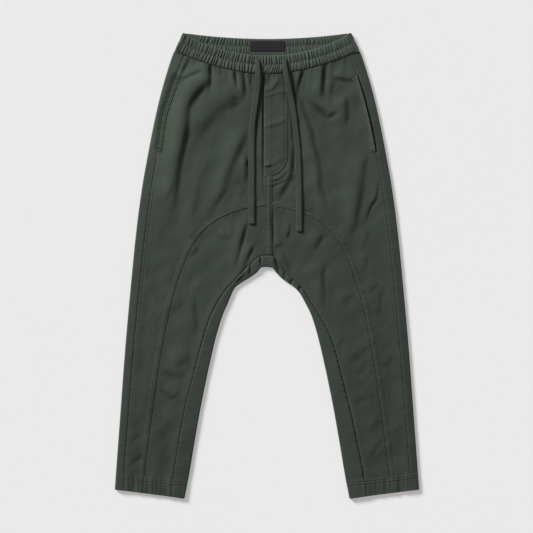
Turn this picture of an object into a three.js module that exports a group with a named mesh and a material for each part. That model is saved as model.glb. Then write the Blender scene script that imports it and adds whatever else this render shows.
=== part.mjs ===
import * as THREE from 'three';

// Harem pants with a low crotch, laid flat on a table with the front up.
// Millimetres. +X is the wearer's left, +Y runs up to the waist, +Z is up from the table.
// The origin is on the table, under the middle of the garment.
// The two back panels lie on the table and wrap forward at both edges of each leg,
// so the side seam and the inner leg seam show on the front.

// Cloth and seams
const CLOTH = 1.2;             // wall of the back panels
const FRONT_CLOTH = 1.3;       // wall of the front panels, measured upright
const BAND_CLOTH = 2.2;        // two layers of cloth round the elastic
const TRIM = 1.0;              // folded strips, fly and label
const SEAM = 0.4;              // clearance between two sewn pieces
const LAY = 0.3;               // clearance under a piece that lies on another
const FOLD_RADIUS = 3.15;      // outside radius of a leg's folded edge
const BAND_RADIUS = 3.9;       // outside radius of the waistband's folded end
const STRIP_WAIST = 22;        // back panel seen beside the side seam, at the waist
const STRIP_HEM = 17;          // and at the hem

// Front surface
const REST_Z = 4.8;            // height of the calm front cloth
const RIDGE_LIMIT = 1.6;
const TROUGH_LIMIT = 1.9;
const SEAM_RISE = 1.0;         // the front climbs to meet the folded edges
const SEAM_REACH = 14;
const CROTCH_FLAT = { from: 20, to: 45, top: 60 };   // no climb under the centre strip
const CALM = { left: 80, right: -42, bottom: 58, blend: 16 };   // under fly and cords

// Hem
const HEM_BAND_AT = 15.48;     // station where the turned-up hem starts, 27 mm above the edge
const HEM_NORMAL = { x: -0.992, y: 0.126 };          // faces the other leg, along the hem
const HEM_RAISE = 0.6;
const FELL_WIDTH = 10;         // felled strip beside the saddle seam
const FELL_RAISE = 0.8;
const FELL_START = 24;         // it starts this far from the centre front

// Waistband: two elastic channels, gathered
const WAVES = 55;
const FRONT_BAND = { top: 451, topRise: 49, topHalf: 181, bottom: 410.6, rise: 46.4, half: 191 };
const BACK_BAND = { top: 487, topRise: 13, bottom: 446, rise: 14.6, half: 199 };
const BAND_END = { lowX: 199, lowY: 460.6, highX: 181, highY: 500 };
const BAND_WRAP = 8.4;         // back band that shows in front of the folded end
const BAND_NORMAL = { x: 0.929, y: 0.371 };          // out of the folded end
const BAND_INSIDE = 4.5;       // underside of the front band
const BAND_CLIMB = { from: 0.86, under: 1.1, over: 0.9 };      // it climbs to meet the back band
const BAND_SETTLE = 0.93;      // outside this share the back band's waves die out

// Pieces that lie on the front
const FLY = { left: 45, right: -6.5, curveTop: 236, bottom: 192, foot: 6 };
const CENTRE_STRIP = { left: 10.5, right: -2, top: 191.5, bottom: 23.5 };
const POCKET = { top: 411, bottom: 246, width: 10.5 };
const LABEL = { left: 37.5, right: -36.5, bottom: 460.5, top: 482.5, corner: 1.5 };
const LABEL_SEAT = { calm: 5, waves: 0.4 };   // the gathers are flatter under the label
const CORD = { width: 12.5, thickness: 2.4, corner: 0.7 };
const GUSSET_TIP = 100;        // the gusset narrows to a point on the centre back seam
const GUSSET_SHORT = 5;        // it stops this far below the point
const GUSSET_ROWS = 0.6;       // share of the back's upper rows that lie above that point

const COLOURS = { cloth: 0x3b4139, cord: 0x3f453d, label: 0x2b2c2f };

function table(columns, rows) {
  return rows.map((row) => Object.fromEntries(columns.map((name, i) => [name, row[i]])));
}

// Outer edge of the garment, half width at each height
const OUTLINE = table(['y', 'x'], [
  [-481, 327], [-332, 316], [-177, 304.5], [-38, 292], [76, 280.5], [173, 267.5],
  [237, 256], [302, 243.5], [367, 228.5], [429, 210.5], [461, 199], [500, 181],
]);

// Stations down a leg: where the saddle seam lies and the height reached on the side seam
const LEG = table(['at', 'archX', 'archY', 'sideY'], [
  [0, 0, 128, 192], [1, 36, 123, 168], [2, 66, 116, 146], [3, 94, 104.5, 126],
  [4, 118, 89.5, 107], [5, 139, 70, 86], [6, 156, 48, 63], [7, 171, 20, 36],
  [8, 183, -10, 8], [9, 195, -45, -28], [10, 207, -90, -78], [11, 219, -148, -138],
  [12, 231, -212, -204], [13, 242, -290, -283], [14, 253, -367, -361],
  [15, 262, -438, -432], [16, 267.5, -488.5, -483],
]);

// The same stations inside the leg: the folded edge and the inner leg seam behind it
const INNER = {
  left: table(['at', 'edgeX', 'edgeY', 'seamX', 'seamY'], [
    [0, 0, -3, 0, 22], [1, 12, -5.5, 13.5, 20.5], [2, 20, -15.5, 26, 4],
    [3, 30, -26, 39, -12], [4, 44, -36.5, 53, -27], [5, 58, -46, 70, -42],
    [6, 70, -59, 82, -57], [7, 81, -78, 95, -79], [8, 94, -104, 109.5, -103],
    [9, 103.5, -132, 126, -130], [10, 112.5, -165, 140, -163], [11, 121.5, -204, 152.5, -204],
    [12, 131, -248, 163.5, -248], [13, 143, -308, 178.5, -307], [14, 155, -376, 193, -375],
    [15, 166.5, -445, 206.5, -443], [16, 177, -500, 213, -495.5],
  ]),
  right: table(['at', 'edgeX', 'edgeY', 'seamX', 'seamY'], [
    [0, 0, -3, 0, 22], [1, 12, -4.5, 13.5, 20.5], [2, 22, -15, 27, 11],
    [3, 37, -26, 41, -1.5], [4, 55, -37, 57, -18], [5, 69, -48, 74, -36],
    [6, 77, -64, 88, -51], [7, 84, -81, 101, -70], [8, 94, -104, 115, -94],
    [9, 103.5, -132, 127, -123], [10, 112.5, -165, 138.5, -160], [11, 121.5, -204, 150, -204],
    [12, 131, -248, 161, -247], [13, 143, -308, 176, -306], [14, 155, -376, 188.5, -375],
    [15, 166.5, -445, 199.5, -443], [16, 177, -500, 204.5, -496.5],
  ]),
};

// Largest folds of the front, a soft trough (depth below 0) or ridge along each line
const FOLDS = table(['x0', 'y0', 'x1', 'y1', 'width', 'depth'], [
  [-131, 415, -157, 364, 12, -2.0], [-157, 364, -168, 290, 13, -2.4],
  [-168, 290, -181, 236, 12, -2.2], [-181, 236, -198, 100, 12, -1.8],
  [-119, 430, -120, 388, 8, -1.6], [-47, 376, -97, 337, 13, -1.2],
  [-97, 337, -124, 286, 15, -1.6], [-124, 286, -146, 268, 12, -1.0],
  [-48, 276, -77, 199, 13, -1.4], [-77, 199, -114, 110, 13, -1.5],
  [-122, 225, -146, 146, 10, -1.0], [-198, 184, -215, 142, 9, -1.0],
  [-180, 385, -196, 300, 14, 1.2], [-196, 300, -214, 190, 14, 1.2],
  [-120, 350, -146, 320, 10, 1.0], [-74, 310, -104, 240, 15, 1.5],
  [-104, 240, -150, 130, 15, 1.2], [-52, 210, -70, 150, 13, 0.9],
  [124, 430, 121, 354, 10, -1.8], [107, 339, 135, 317, 12, -1.2],
  [176, 346, 176, 304, 9, -1.2], [88, 316, 111, 253, 13, -1.3],
  [111, 253, 133, 108, 14, -1.5], [215, 229, 194, 120, 12, -1.6],
  [243, 190, 238, 148, 10, -1.0], [150, 420, 152, 350, 15, 1.2],
  [160, 300, 165, 180, 18, 1.3], [95, 390, 98, 350, 11, 1.0],
  [-49, 68, -67, 0, 10, -1.4], [-30, 36, -47, -2, 9, -1.8],
  [-110, 60, -104, 10, 20, 1.1], [116, 53, 105, 27, 11, -1.1],
  [129, 0, 123, -100, 12, -1.8], [43, 14, 52, -12, 9, -1.6],
  [160, -20, 162, -110, 15, 1.2], [-258, -94, -236, -124, 11, -1.2],
  [-196, -105, -198, -150, 11, -1.0], [-176, -214, -194, -240, 14, -1.3],
  [-221, -268, -206, -283, 11, -1.1], [-200, -190, -222, -230, 12, 1.0],
  [-275, -418, -299, -438, 9, -1.0], [195, -199, 170, -231, 12, -1.2],
  [232, -360, 226, -405, 12, -1.0], [205, -290, 214, -340, 12, 1.0],
]);

// Routes of the two cord ends, from the waistband down
const CORD_ROUTES = {
  left: [
    [36.5, 442, 9.9], [37.2, 434, 9.9], [38.3, 424.5, 9.9], [42, 403, 9.3], [47.3, 377, 7.9],
    [52.2, 353.6, 7.7], [57, 327.8, 6.9], [61.3, 291, 6.5], [65.1, 259, 6.5], [67, 226.8, 6.5],
    [68.4, 171, 6.5], [68.6, 150, 6.7], [68.8, 132, 7.3], [69, 108, 7.3], [69, 90, 6.6],
    [69, 73, 6.5],
  ],
  right: [
    [-24.7, 443, 9.9], [-22.2, 437, 9.9], [-20.4, 431, 9.9], [-19.4, 409.5, 9.3],
    [-21.5, 377, 7.2], [-25.8, 345, 6.5], [-30, 313, 6.5], [-31.8, 291, 6.5], [-32.7, 248, 6.5],
    [-32.7, 184, 6.5], [-32.6, 155, 6.6], [-32.6, 138, 7.3], [-32.7, 118, 7.3],
    [-32.7, 104, 6.6], [-32.7, 89, 6.5],
  ],
};

// A column's value at a place along a table, on one smooth curve through the rows
function along(rows, key, column, place) {
  const last = rows.length - 1;
  let i = 0;
  while (i < last - 1 && place > rows[i + 1][key]) i += 1;
  const slope = (k) => {
    const before = rows[Math.max(k - 1, 0)];
    const after = rows[Math.min(k + 1, last)];
    return (after[column] - before[column]) / (after[key] - before[key]);
  };
  const span = rows[i + 1][key] - rows[i][key];
  const t = (place - rows[i][key]) / span;
  const bend = t * t * (3 - 2 * t);
  return rows[i][column] * (1 - bend) + rows[i + 1][column] * bend
    + span * t * (1 - t) * (slope(i) * (1 - t) - slope(i + 1) * t);
}

function mix(a, b, t) {
  return a + (b - a) * t;
}

function smooth(low, high, value) {
  return THREE.MathUtils.smoothstep(value, low, high);
}

function steps(from, to, count) {
  return Array.from({ length: count }, (_, i) => mix(from, to, i / count));
}

function distanceToLine(x, y, x0, y0, x1, y1) {
  const dx = x1 - x0;
  const dy = y1 - y0;
  const t = THREE.MathUtils.clamp(((x - x0) * dx + (y - y0) * dy) / (dx * dx + dy * dy), 0, 1);
  return Math.hypot(x - x0 - t * dx, y - y0 - t * dy);
}

// Waistband curves: height of each edge at a half width
const frontBandTop = (x) => FRONT_BAND.top
  + FRONT_BAND.topRise * Math.pow(Math.abs(x) / FRONT_BAND.topHalf, 2.15);
const frontBandBottom = (x) => FRONT_BAND.bottom
  + FRONT_BAND.rise * Math.pow(Math.abs(x) / FRONT_BAND.half, 1.8);
const backBandTop = (x) => BACK_BAND.top + BACK_BAND.topRise * (x / BAND_END.highX) ** 2;
const backBandBottom = (x) => BACK_BAND.bottom + BACK_BAND.rise * (x / BACK_BAND.half) ** 2;

// Places on the seams at a station: -1 is the waistband, 0 the crown of the saddle seam
const SIDE_TOP = frontBandBottom(BAND_END.lowX - STRIP_WAIST) - SEAM;
const FOLD_TOP = BAND_END.lowY - SEAM;

function sideY(at) {
  return at < 0 ? mix(SIDE_TOP, LEG[0].sideY, at + 1) : along(LEG, 'at', 'sideY', at);
}

function outerEdge(at) {
  const y = sideY(at) + 2 + (at < 0 ? (FOLD_TOP - SIDE_TOP - 2) * at * at : 0);
  return { x: along(OUTLINE, 'y', 'x', y), y };
}

function sideSeam(at) {
  const edge = outerEdge(at);
  const down = (SIDE_TOP - sideY(at)) / (SIDE_TOP - LEG.at(-1).sideY);
  return { x: edge.x - mix(STRIP_WAIST, STRIP_HEM, down), y: sideY(at) };
}

function archSeam(at) {
  return { x: along(LEG, 'at', 'archX', at), y: along(LEG, 'at', 'archY', at) };
}

function innerEdge(side, at) {
  const rows = INNER[side];
  return { x: along(rows, 'at', 'edgeX', at), y: along(rows, 'at', 'edgeY', at) };
}

function innerSeam(side, at) {
  const rows = INNER[side];
  return { x: along(rows, 'at', 'seamX', at), y: along(rows, 'at', 'seamY', at) };
}

function towards(from, to, distance) {
  const length = Math.hypot(to.x - from.x, to.y - from.y);
  const t = distance / length;
  return { x: mix(from.x, to.x, t), y: mix(from.y, to.y, t) };
}

// Stations of the cross rows, shared by all panels of a leg so that their seams match
const WAIST_ROWS = steps(-1, 0, 12);
const LEG_ROWS = [
  ...steps(0, 2, 4), ...steps(2, 8, 8), ...steps(8, 15, 8), 15, 15.42, HEM_BAND_AT, 16,
];

// Height of the front cloth's outer face
function distanceToSeams(x, y, side) {
  const half = Math.abs(x);
  const rows = INNER[side];
  const strip = (STRIP_WAIST + STRIP_HEM) / 2;
  let nearest = along(OUTLINE, 'y', 'x', Math.max(y, OUTLINE[0].y)) - strip - half;
  for (let i = 2; i < rows.length; i += 1) {
    const a = rows[i - 1];
    const b = rows[i];
    nearest = Math.min(nearest, distanceToLine(half, y, a.seamX, a.seamY, b.seamX, b.seamY));
  }
  return Math.max(nearest, 0);
}

function calmness(x, y) {
  const across = (1 - smooth(CALM.left, CALM.left + CALM.blend, x))
    * smooth(CALM.right - CALM.blend, CALM.right, x);
  return across * smooth(CALM.bottom - CALM.blend, CALM.bottom, y);
}

function frontHeight(x, y) {
  const side = x > 0 ? 'left' : 'right';
  let relief = 0;
  for (const fold of FOLDS) {
    const d = distanceToLine(x, y, fold.x0, fold.y0, fold.x1, fold.y1) / fold.width;
    relief += fold.depth * Math.exp(-d * d);
  }
  relief *= 1 - calmness(x, y);
  const limit = relief > 0 ? RIDGE_LIMIT : TROUGH_LIMIT;
  const centre = y > CROTCH_FLAT.top ? 1 : smooth(CROTCH_FLAT.from, CROTCH_FLAT.to, Math.abs(x));
  const rise = SEAM_RISE * Math.exp(-((distanceToSeams(x, y, side) / SEAM_REACH) ** 2));
  const cloth = limit * Math.tanh(relief / limit);
  return REST_Z + cloth * (1 - rise * centre / SEAM_RISE) + rise * centre;
}

// A closed wall from its outer points, the inner point behind each, and the outer faces.
// Faces that meet at a point are dropped, and the open edge gets a rim.
function wall(points, faces, side) {
  const sign = side === 'right' ? -1 : 1;
  const welded = new Map();
  const outer = [];
  const inner = [];
  const index = points.map((point) => {
    const key = point.out.map((value) => value.toFixed(3)).join();
    if (!welded.has(key)) {
      welded.set(key, outer.length);
      outer.push([sign * point.out[0], point.out[1], point.out[2]]);
      inner.push([sign * point.in[0], point.in[1], point.in[2]]);
    }
    return welded.get(key);
  });
  const kept = [];
  for (const face of faces) {
    const [a, b, c] = face.map((corner) => index[corner]);
    if (a !== b && b !== c && c !== a) kept.push(sign > 0 ? [a, b, c] : [a, c, b]);
  }
  const edges = new Set();
  for (const [a, b, c] of kept) edges.add(`${a},${b}`).add(`${b},${c}`).add(`${c},${a}`);
  const count = outer.length;
  const triangles = [];
  for (const [a, b, c] of kept) {
    triangles.push(a, b, c, a + count, c + count, b + count);
    for (const [from, to] of [[a, b], [b, c], [c, a]]) {
      if (!edges.has(`${to},${from}`)) {
        triangles.push(to, from, from + count, to, from + count, to + count);
      }
    }
  }
  const geometry = new THREE.BufferGeometry();
  geometry.setAttribute('position', new THREE.Float32BufferAttribute([...outer, ...inner].flat(), 3));
  geometry.setIndex(triangles);
  geometry.computeVertexNormals();
  return geometry;
}

// A wall over rows of points; where one row is longer, its extra points end in a free edge
function rowsWall(rows, side) {
  const starts = [];
  const points = [];
  for (const row of rows) {
    starts.push(points.length);
    points.push(...row);
  }
  const faces = [];
  for (let r = 0; r < rows.length - 1; r += 1) {
    const columns = Math.min(rows[r].length, rows[r + 1].length);
    for (let c = 0; c < columns - 1; c += 1) {
      const a = starts[r] + c;
      const b = starts[r + 1] + c;
      faces.push([a, b, b + 1], [a, b + 1, a + 1]);
    }
  }
  return wall(points, faces, side);
}

// Outer front: from the centre front and the saddle seam across to the side seam
const FRONT_COLUMNS = 13;

function columnPlace(column, width) {
  const first = FELL_WIDTH + 0.8;
  const last = width - POCKET.width;
  if (column === 0) return 0;
  if (column === 1) return FELL_WIDTH;
  if (column === FRONT_COLUMNS) return width;
  return mix(first, last, (column - 2) / (FRONT_COLUMNS - 3));
}

function frontEnds(at) {
  const seam = sideSeam(at);
  const crown = LEG[0].archY + SEAM / 2;
  const centreTop = FRONT_BAND.bottom - SEAM;
  const from = at <= 0 ? { x: LAY / 2, y: mix(centreTop, crown, at + 1) }
    : towards(archSeam(at), seam, SEAM / 2);
  return { from, to: towards(seam, from, SEAM / 2) };
}

function frontPoint(sign, at, column) {
  const { from, to } = frontEnds(at);
  const width = Math.hypot(to.x - from.x, to.y - from.y);
  const place = towards(from, to, columnPlace(column, width));
  if (at < 0) {
    const top = frontEnds(-1);
    const share = columnPlace(column, width) / width;
    const above = frontBandBottom(mix(top.from.x, top.to.x, share)) - SEAM;
    place.y += (above - mix(top.from.y, top.to.y, share)) * at * at;
  }
  return { x: place.x, y: place.y, z: frontHeight(sign * place.x, place.y) };
}

function frontPanel(side) {
  const sign = side === 'left' ? 1 : -1;
  const rows = [...WAIST_ROWS, ...LEG_ROWS].map((at) => {
    const row = [];
    for (let column = 0; column <= FRONT_COLUMNS; column += 1) {
      const { x, y, z } = frontPoint(sign, at, column);
      const felled = column < 2 && at > 0 && x > FELL_START ? FELL_RAISE : 0;
      const raise = Math.max(felled, at >= HEM_BAND_AT ? HEM_RAISE : 0);
      row.push({ out: [x, y, z + raise], in: [x, y, z - FRONT_CLOTH] });
    }
    return row;
  });
  return rowsWall(rows, side);
}

// Saddle: from the curved seam down to the inner leg seam, its first row on the centre front
const SADDLE_COLUMNS = 7;

function saddlePanel(side) {
  const sign = side === 'left' ? 1 : -1;
  const rows = LEG_ROWS.map((at) => {
    const arch = archSeam(at);
    const seam = innerSeam(side, at);
    const from = towards(seam, arch, SEAM / 2);
    const to = towards(arch, seam, SEAM / 2);
    const row = [];
    for (let column = 0; column <= SADDLE_COLUMNS; column += 1) {
      const t = column / SADDLE_COLUMNS;
      const x = Math.max(mix(from.x, to.x, t), LAY / 2);
      const y = mix(from.y, to.y, t);
      const z = frontHeight(sign * x, y);
      const raise = at >= HEM_BAND_AT ? HEM_RAISE : 0;
      row.push({ out: [x, y, z + raise], in: [x, y, z - FRONT_CLOTH] });
    }
    return row;
  });
  return rowsWall(rows, side);
}

// The rounded edge where a back panel folds forward: seam on top, round, down to the table
const FOLD_STEPS = 4;

function foldedEdge(edge, seam, normal, radius, cloth, raise) {
  const centre = { x: edge.x - normal.x * radius, y: edge.y - normal.y * radius };
  const points = [{
    out: [seam.x, seam.y, 2 * radius + raise],
    in: [seam.x, seam.y, 2 * radius - cloth],
  }];
  for (let i = 0; i <= FOLD_STEPS; i += 1) {
    const angle = Math.PI * (0.5 - i / FOLD_STEPS);
    const lift = i === 0 ? raise : 0;
    const ring = (r) => [
      centre.x + normal.x * r * Math.cos(angle),
      centre.y + normal.y * r * Math.cos(angle),
      radius + r * Math.sin(angle),
    ];
    const out = ring(radius);
    points.push({ out: [out[0], out[1], out[2] + lift], in: ring(radius - cloth) });
  }
  return points;
}

function outerFold(at) {
  const edge = outerEdge(at);
  const seam = towards(sideSeam(at), edge, SEAM / 2);
  const length = Math.hypot(edge.x - seam.x, edge.y - seam.y);
  const normal = { x: (edge.x - seam.x) / length, y: (edge.y - seam.y) / length };
  const raise = at >= HEM_BAND_AT ? HEM_RAISE : 0;
  return foldedEdge(edge, seam, normal, FOLD_RADIUS, CLOTH, raise);
}

function innerFold(side, at) {
  const edge = innerEdge(side, at);
  const seam = towards(innerSeam(side, at), edge, SEAM / 2);
  const a = innerEdge(side, Math.max(at - 0.3, 0));
  const b = innerEdge(side, Math.min(at + 0.3, LEG.at(-1).at));
  const length = Math.hypot(b.x - a.x, b.y - a.y);
  const turn = at === 0 ? { x: 0, y: -1 } : { x: (b.y - a.y) / length, y: (a.x - b.x) / length };
  const normal = at === LEG.at(-1).at ? HEM_NORMAL : turn;
  const raise = at >= HEM_BAND_AT ? HEM_RAISE : 0;
  return foldedEdge(edge, seam, normal, FOLD_RADIUS, CLOTH, raise);
}

// Back panel: side seam, folded edge, flat on the table, folded edge, inner leg seam
const FLOOR_COLUMNS = 4;
const GUSSET_SPLIT = 0.012;    // share of a station kept clear on each side of the gusset's edge

function floorRow(from, to, sag) {
  const row = [];
  for (let column = 1; column < FLOOR_COLUMNS; column += 1) {
    const t = column / FLOOR_COLUMNS;
    const x = mix(from[0], to[0], t);
    const y = mix(from[1], to[1], t) + sag * 4 * t * (1 - t);
    row.push({ out: [x, y, 0], in: [x, y, CLOTH] });
  }
  return row;
}

function backPanel(side) {
  const crotch = 1 + GUSSET_SPLIT;
  const corner = innerFold(side, crotch).at(-1).out;
  const waist = [...WAIST_ROWS, 0, 0.5].map((at) => {
    const fold = outerFold(at);
    const down = (at + 1) / 2;
    const past = Math.max(0, (down - GUSSET_ROWS) / (1 - GUSSET_ROWS));
    const x = mix(LAY / 2, corner[0], past);
    const above = mix(backBandBottom(0) - SEAM, GUSSET_TIP, down / GUSSET_ROWS);
    const y = past > 0 ? mix(GUSSET_TIP, corner[1], past) : above;
    const centre = { out: [x, y, 0], in: [x, y, CLOTH] };
    const sag = -BACK_BAND.rise / 4 * Math.max(-at, 0) ** 3;
    return [...fold, ...floorRow(fold.at(-1).out, centre.out, sag), centre];
  });
  const leg = LEG_ROWS.filter((at) => at >= 1).map((station) => {
    const at = Math.max(station, crotch);
    const outer = outerFold(at);
    const inner = innerFold(side, at).reverse();
    return [...outer, ...floorRow(outer.at(-1).out, inner[0].out, 0), ...inner];
  });
  return rowsWall([...waist, ...leg], side);
}

// Crotch gusset: a wedge between the backs, turned up over the crotch edge
function crotchGusset() {
  const edge = 1 - GUSSET_SPLIT;
  const rows = [-edge, -edge / 2, 0, edge / 2, edge].map((at) => {
    const sign = at < 0 ? -1 : 1;
    const side = at < 0 ? 'right' : 'left';
    const fold = innerFold(side, Math.abs(at)).map(({ out, in: inside }) => ({
      out: [sign * out[0], out[1], out[2]],
      in: [sign * inside[0], inside[1], inside[2]],
    }));
    const tipY = GUSSET_TIP - GUSSET_SHORT;
    const tip = { out: [0, tipY, 0], in: [0, tipY, CLOTH] };
    return [...fold, tip];
  });
  return rowsWall(rows.reverse(), 'left');
}

// Waistband: each row is a line of stitching or the crown of a channel between two lines
const FRONT_ROWS = table(['up', 'z', 'wave'], [
  [1, 2.0, 0.3], [0.75, 2.9, 0.8], [0.5, 2.1, 0.3], [0.25, 2.9, 0.8], [0, 1.9, 0.3],
]);
const BACK_ROWS = table(['up', 'z', 'wave'], [
  [1, 2.2, 0.2], [0.8, 3.1, 0.8], [0.6, 2.4, 0.3], [0.3, 3.1, 0.8], [0, 2.2, 0.2],
]);

function frontBand() {
  const halfLow = BAND_END.lowX - BAND_WRAP;
  const halfHigh = BAND_END.highX - BAND_WRAP;
  const rows = FRONT_ROWS.map(({ up, z, wave }) => {
    const row = [];
    for (let i = 0; i <= 2 * WAVES; i += 1) {
      const across = i / WAVES - 1;
      const low = across * halfLow;
      const high = across * halfHigh;
      const x = mix(low, high, up);
      const y = mix(frontBandBottom(low), frontBandTop(high), up);
      const ends = smooth(BAND_CLIMB.from, 1, Math.abs(across));
      const under = BAND_INSIDE + BAND_CLIMB.under * ends;
      const crest = i % 2 === 1 ? wave : -wave;
      const over = BAND_INSIDE + z + BAND_CLIMB.over * ends + crest;
      row.push({ out: [x, y, over], in: [x, y, under] });
    }
    return row;
  });
  return rowsWall(rows, 'left');
}

function bandEnd(up) {
  const edge = {
    x: mix(BAND_END.lowX, BAND_END.highX, up),
    y: mix(BAND_END.lowY, BAND_END.highY, up),
  };
  const low = BAND_END.lowX - BAND_WRAP;
  const high = BAND_END.highX - BAND_WRAP;
  const seam = {
    x: mix(low, high, up) + LAY,
    y: mix(frontBandBottom(low), frontBandTop(high), up) + LAY / 2,
  };
  return foldedEdge(edge, seam, BAND_NORMAL, BAND_RADIUS, BAND_CLOTH, 0);
}

function backBand() {
  const rows = BACK_ROWS.map(({ up, z, wave }) => {
    const end = bandEnd(up);
    const [endX, endY] = end.at(-1).out;
    const floor = [];
    for (let i = 1; i < 2 * WAVES; i += 1) {
      const across = 1 - i / WAVES;
      const x = across * endX;
      const flat = mix(backBandBottom(x), backBandTop(x), up);
      const y = mix(flat, endY, smooth(BAND_SETTLE, 1, Math.abs(across)));
      const underLabel = Math.abs(x) < LABEL.left + LABEL_SEAT.calm ? LABEL_SEAT.waves : 1;
      const ends = 1 - smooth(BAND_SETTLE, 1, Math.abs(across));
      const crest = (i % 2 === 1 ? wave : -wave) * underLabel;
      floor.push({ out: [x, y, 0], in: [x, y, BAND_CLOTH + (z + crest - BAND_CLOTH) * ends] });
    }
    const mirrored = end.map((point) => ({
      out: [-point.out[0], point.out[1], point.out[2]],
      in: [-point.in[0], point.in[1], point.in[2]],
    }));
    return [...end, ...floor, ...mirrored.reverse()];
  });
  return rowsWall(rows, 'left');
}

// Fly: a placket with a J-shaped lower edge, laid on the two fronts
function flyPlacket() {
  const top = FRONT_BAND.bottom - SEAM;
  const depth = FLY.curveTop - FLY.bottom;
  const heights = [...steps(top, FLY.curveTop, 6), ...steps(0, 1, 6).map((t) => (
    FLY.curveTop - depth * Math.sin(t * Math.PI / 2))), FLY.bottom];
  const rows = heights.map((y) => {
    const fall = Math.max(0, (FLY.curveTop - y) / depth);
    const left = FLY.foot + (FLY.left - FLY.foot) * Math.sqrt(Math.max(0, 1 - fall * fall));
    return [0, 1, 2, 3].map((i) => {
      const x = mix(FLY.right, left, i / 3);
      const lift = y > top - 1 ? frontBandBottom(x) - FRONT_BAND.bottom : 0;
      return {
        out: [x, y + lift, REST_Z + LAY + TRIM],
        in: [x, y + lift, REST_Z + LAY],
      };
    });
  });
  return rowsWall(rows, 'left');
}

// Folded edge of the side pocket, laid on the front beside the side seam
function pocketEdge(side) {
  const sign = side === 'left' ? 1 : -1;
  const station = (y) => (SIDE_TOP - y) / (SIDE_TOP - LEG[0].sideY) - 1;
  const first = station(POCKET.top);
  const last = station(POCKET.bottom);
  const inside = WAIST_ROWS.filter((at) => at > first + 0.01 && at < last - 0.01);
  const rows = [first, ...inside, last].map((at) => (
    [FRONT_COLUMNS - 1, FRONT_COLUMNS].map((column) => {
      const { x, y, z } = frontPoint(sign, at, column);
      return { out: [x, y, z + LAY + TRIM], in: [x, y, z + LAY] };
    })
  ));
  return rowsWall(rows, side);
}

function flatPiece(outline, thickness) {
  const shape = new THREE.Shape(outline.map(([x, y]) => new THREE.Vector2(x, y)));
  return new THREE.ExtrudeGeometry(shape, { depth: thickness, bevelEnabled: false });
}

function centreStrip() {
  const { left, right, top, bottom } = CENTRE_STRIP;
  return flatPiece([[right, bottom], [left, bottom], [left, top], [right, top]], TRIM);
}

function waistLabel() {
  const { left, right, bottom, top, corner } = LABEL;
  return flatPiece([
    [right + corner, bottom], [left - corner, bottom], [left, bottom + corner],
    [left, top - corner], [left - corner, top], [right + corner, top],
    [right, top - corner], [right, bottom + corner],
  ], TRIM);
}

// Flat tape of the cord: thickness upright, width across
function drawcord(route) {
  const path = new THREE.CatmullRomCurve3(route.map((point) => new THREE.Vector3(...point)));
  const thick = CORD.thickness / 2;
  const wide = CORD.width / 2;
  const cut = CORD.corner;
  const section = new THREE.Shape([
    [thick, -wide + cut], [thick, wide - cut], [thick - cut, wide], [cut - thick, wide],
    [-thick, wide - cut], [-thick, cut - wide], [cut - thick, -wide], [thick - cut, -wide],
  ].map(([x, y]) => new THREE.Vector2(x, y)));
  return new THREE.ExtrudeGeometry(section, { extrudePath: path, steps: 24 });
}

const group = new THREE.Group();

function add(name, geometry, colour, height = 0) {
  const material = new THREE.MeshStandardMaterial({ color: colour, roughness: 0.9, metalness: 0 });
  const mesh = new THREE.Mesh(geometry, material);
  mesh.name = name;
  mesh.position.z = height;
  group.add(mesh);
}

const labelSeat = Math.max(...BACK_ROWS.map(({ z, wave }) => z + wave * LABEL_SEAT.waves)) + LAY;

add('waistband_back', backBand(), COLOURS.cloth);
add('waistband_front', frontBand(), COLOURS.cloth);
for (const side of ['left', 'right']) {
  add(`back_${side}`, backPanel(side), COLOURS.cloth);
  add(`front_${side}`, frontPanel(side), COLOURS.cloth);
  add(`saddle_${side}`, saddlePanel(side), COLOURS.cloth);
  add(`pocket_edge_${side}`, pocketEdge(side), COLOURS.cloth);
  add(`drawcord_${side}`, drawcord(CORD_ROUTES[side]), COLOURS.cord);
}
add('crotch_gusset', crotchGusset(), COLOURS.cloth);
add('centre_strip', centreStrip(), COLOURS.cloth, REST_Z + LAY);
add('fly_placket', flyPlacket(), COLOURS.cloth);
add('waist_label', waistLabel(), COLOURS.label, labelSeat);

export default group;
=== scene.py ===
import math

import bmesh
import bpy
import numpy as np
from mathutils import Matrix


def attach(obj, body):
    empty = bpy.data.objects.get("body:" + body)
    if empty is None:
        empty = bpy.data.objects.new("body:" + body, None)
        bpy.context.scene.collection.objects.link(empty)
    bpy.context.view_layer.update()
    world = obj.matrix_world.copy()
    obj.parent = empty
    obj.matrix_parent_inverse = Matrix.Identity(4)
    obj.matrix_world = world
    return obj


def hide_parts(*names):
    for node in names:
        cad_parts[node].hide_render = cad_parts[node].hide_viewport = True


# Harem pants with a low crotch, laid flat with the front up.
# Metres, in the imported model's frame: +X is the wearer's left, +Y runs up to the waist.
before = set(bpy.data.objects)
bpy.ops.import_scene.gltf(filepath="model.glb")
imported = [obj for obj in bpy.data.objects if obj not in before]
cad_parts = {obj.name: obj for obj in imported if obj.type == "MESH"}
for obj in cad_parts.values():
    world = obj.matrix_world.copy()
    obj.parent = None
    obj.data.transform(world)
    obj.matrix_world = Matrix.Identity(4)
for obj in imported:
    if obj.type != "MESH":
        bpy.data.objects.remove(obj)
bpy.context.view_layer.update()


# Table top, light and camera
# A plain pale table top in low, soft, even light from the upper left and a bright room.
# The camera looks straight down, and the garment fills nearly all of the frame's height.
TABLE_SIDE = 8.0
TABLE_DROP = 0.0004
TABLE_COLOUR = (0.50, 0.50, 0.50, 1)
TABLE_MOTTLE = 0.99           # its darkest patches, as a share of its colour
TABLE_GLOW = 0.31             # glow of the table top itself: painted light that lifts the shadows on it
VIEW_WIDTH = 1.146
VIEW_CENTRE = (-0.001, -0.002)
LENS = 0.1
SENSOR = 0.036
WINDOW_FROM = (-0.66, 0.62)   # across the table, towards the window
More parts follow.
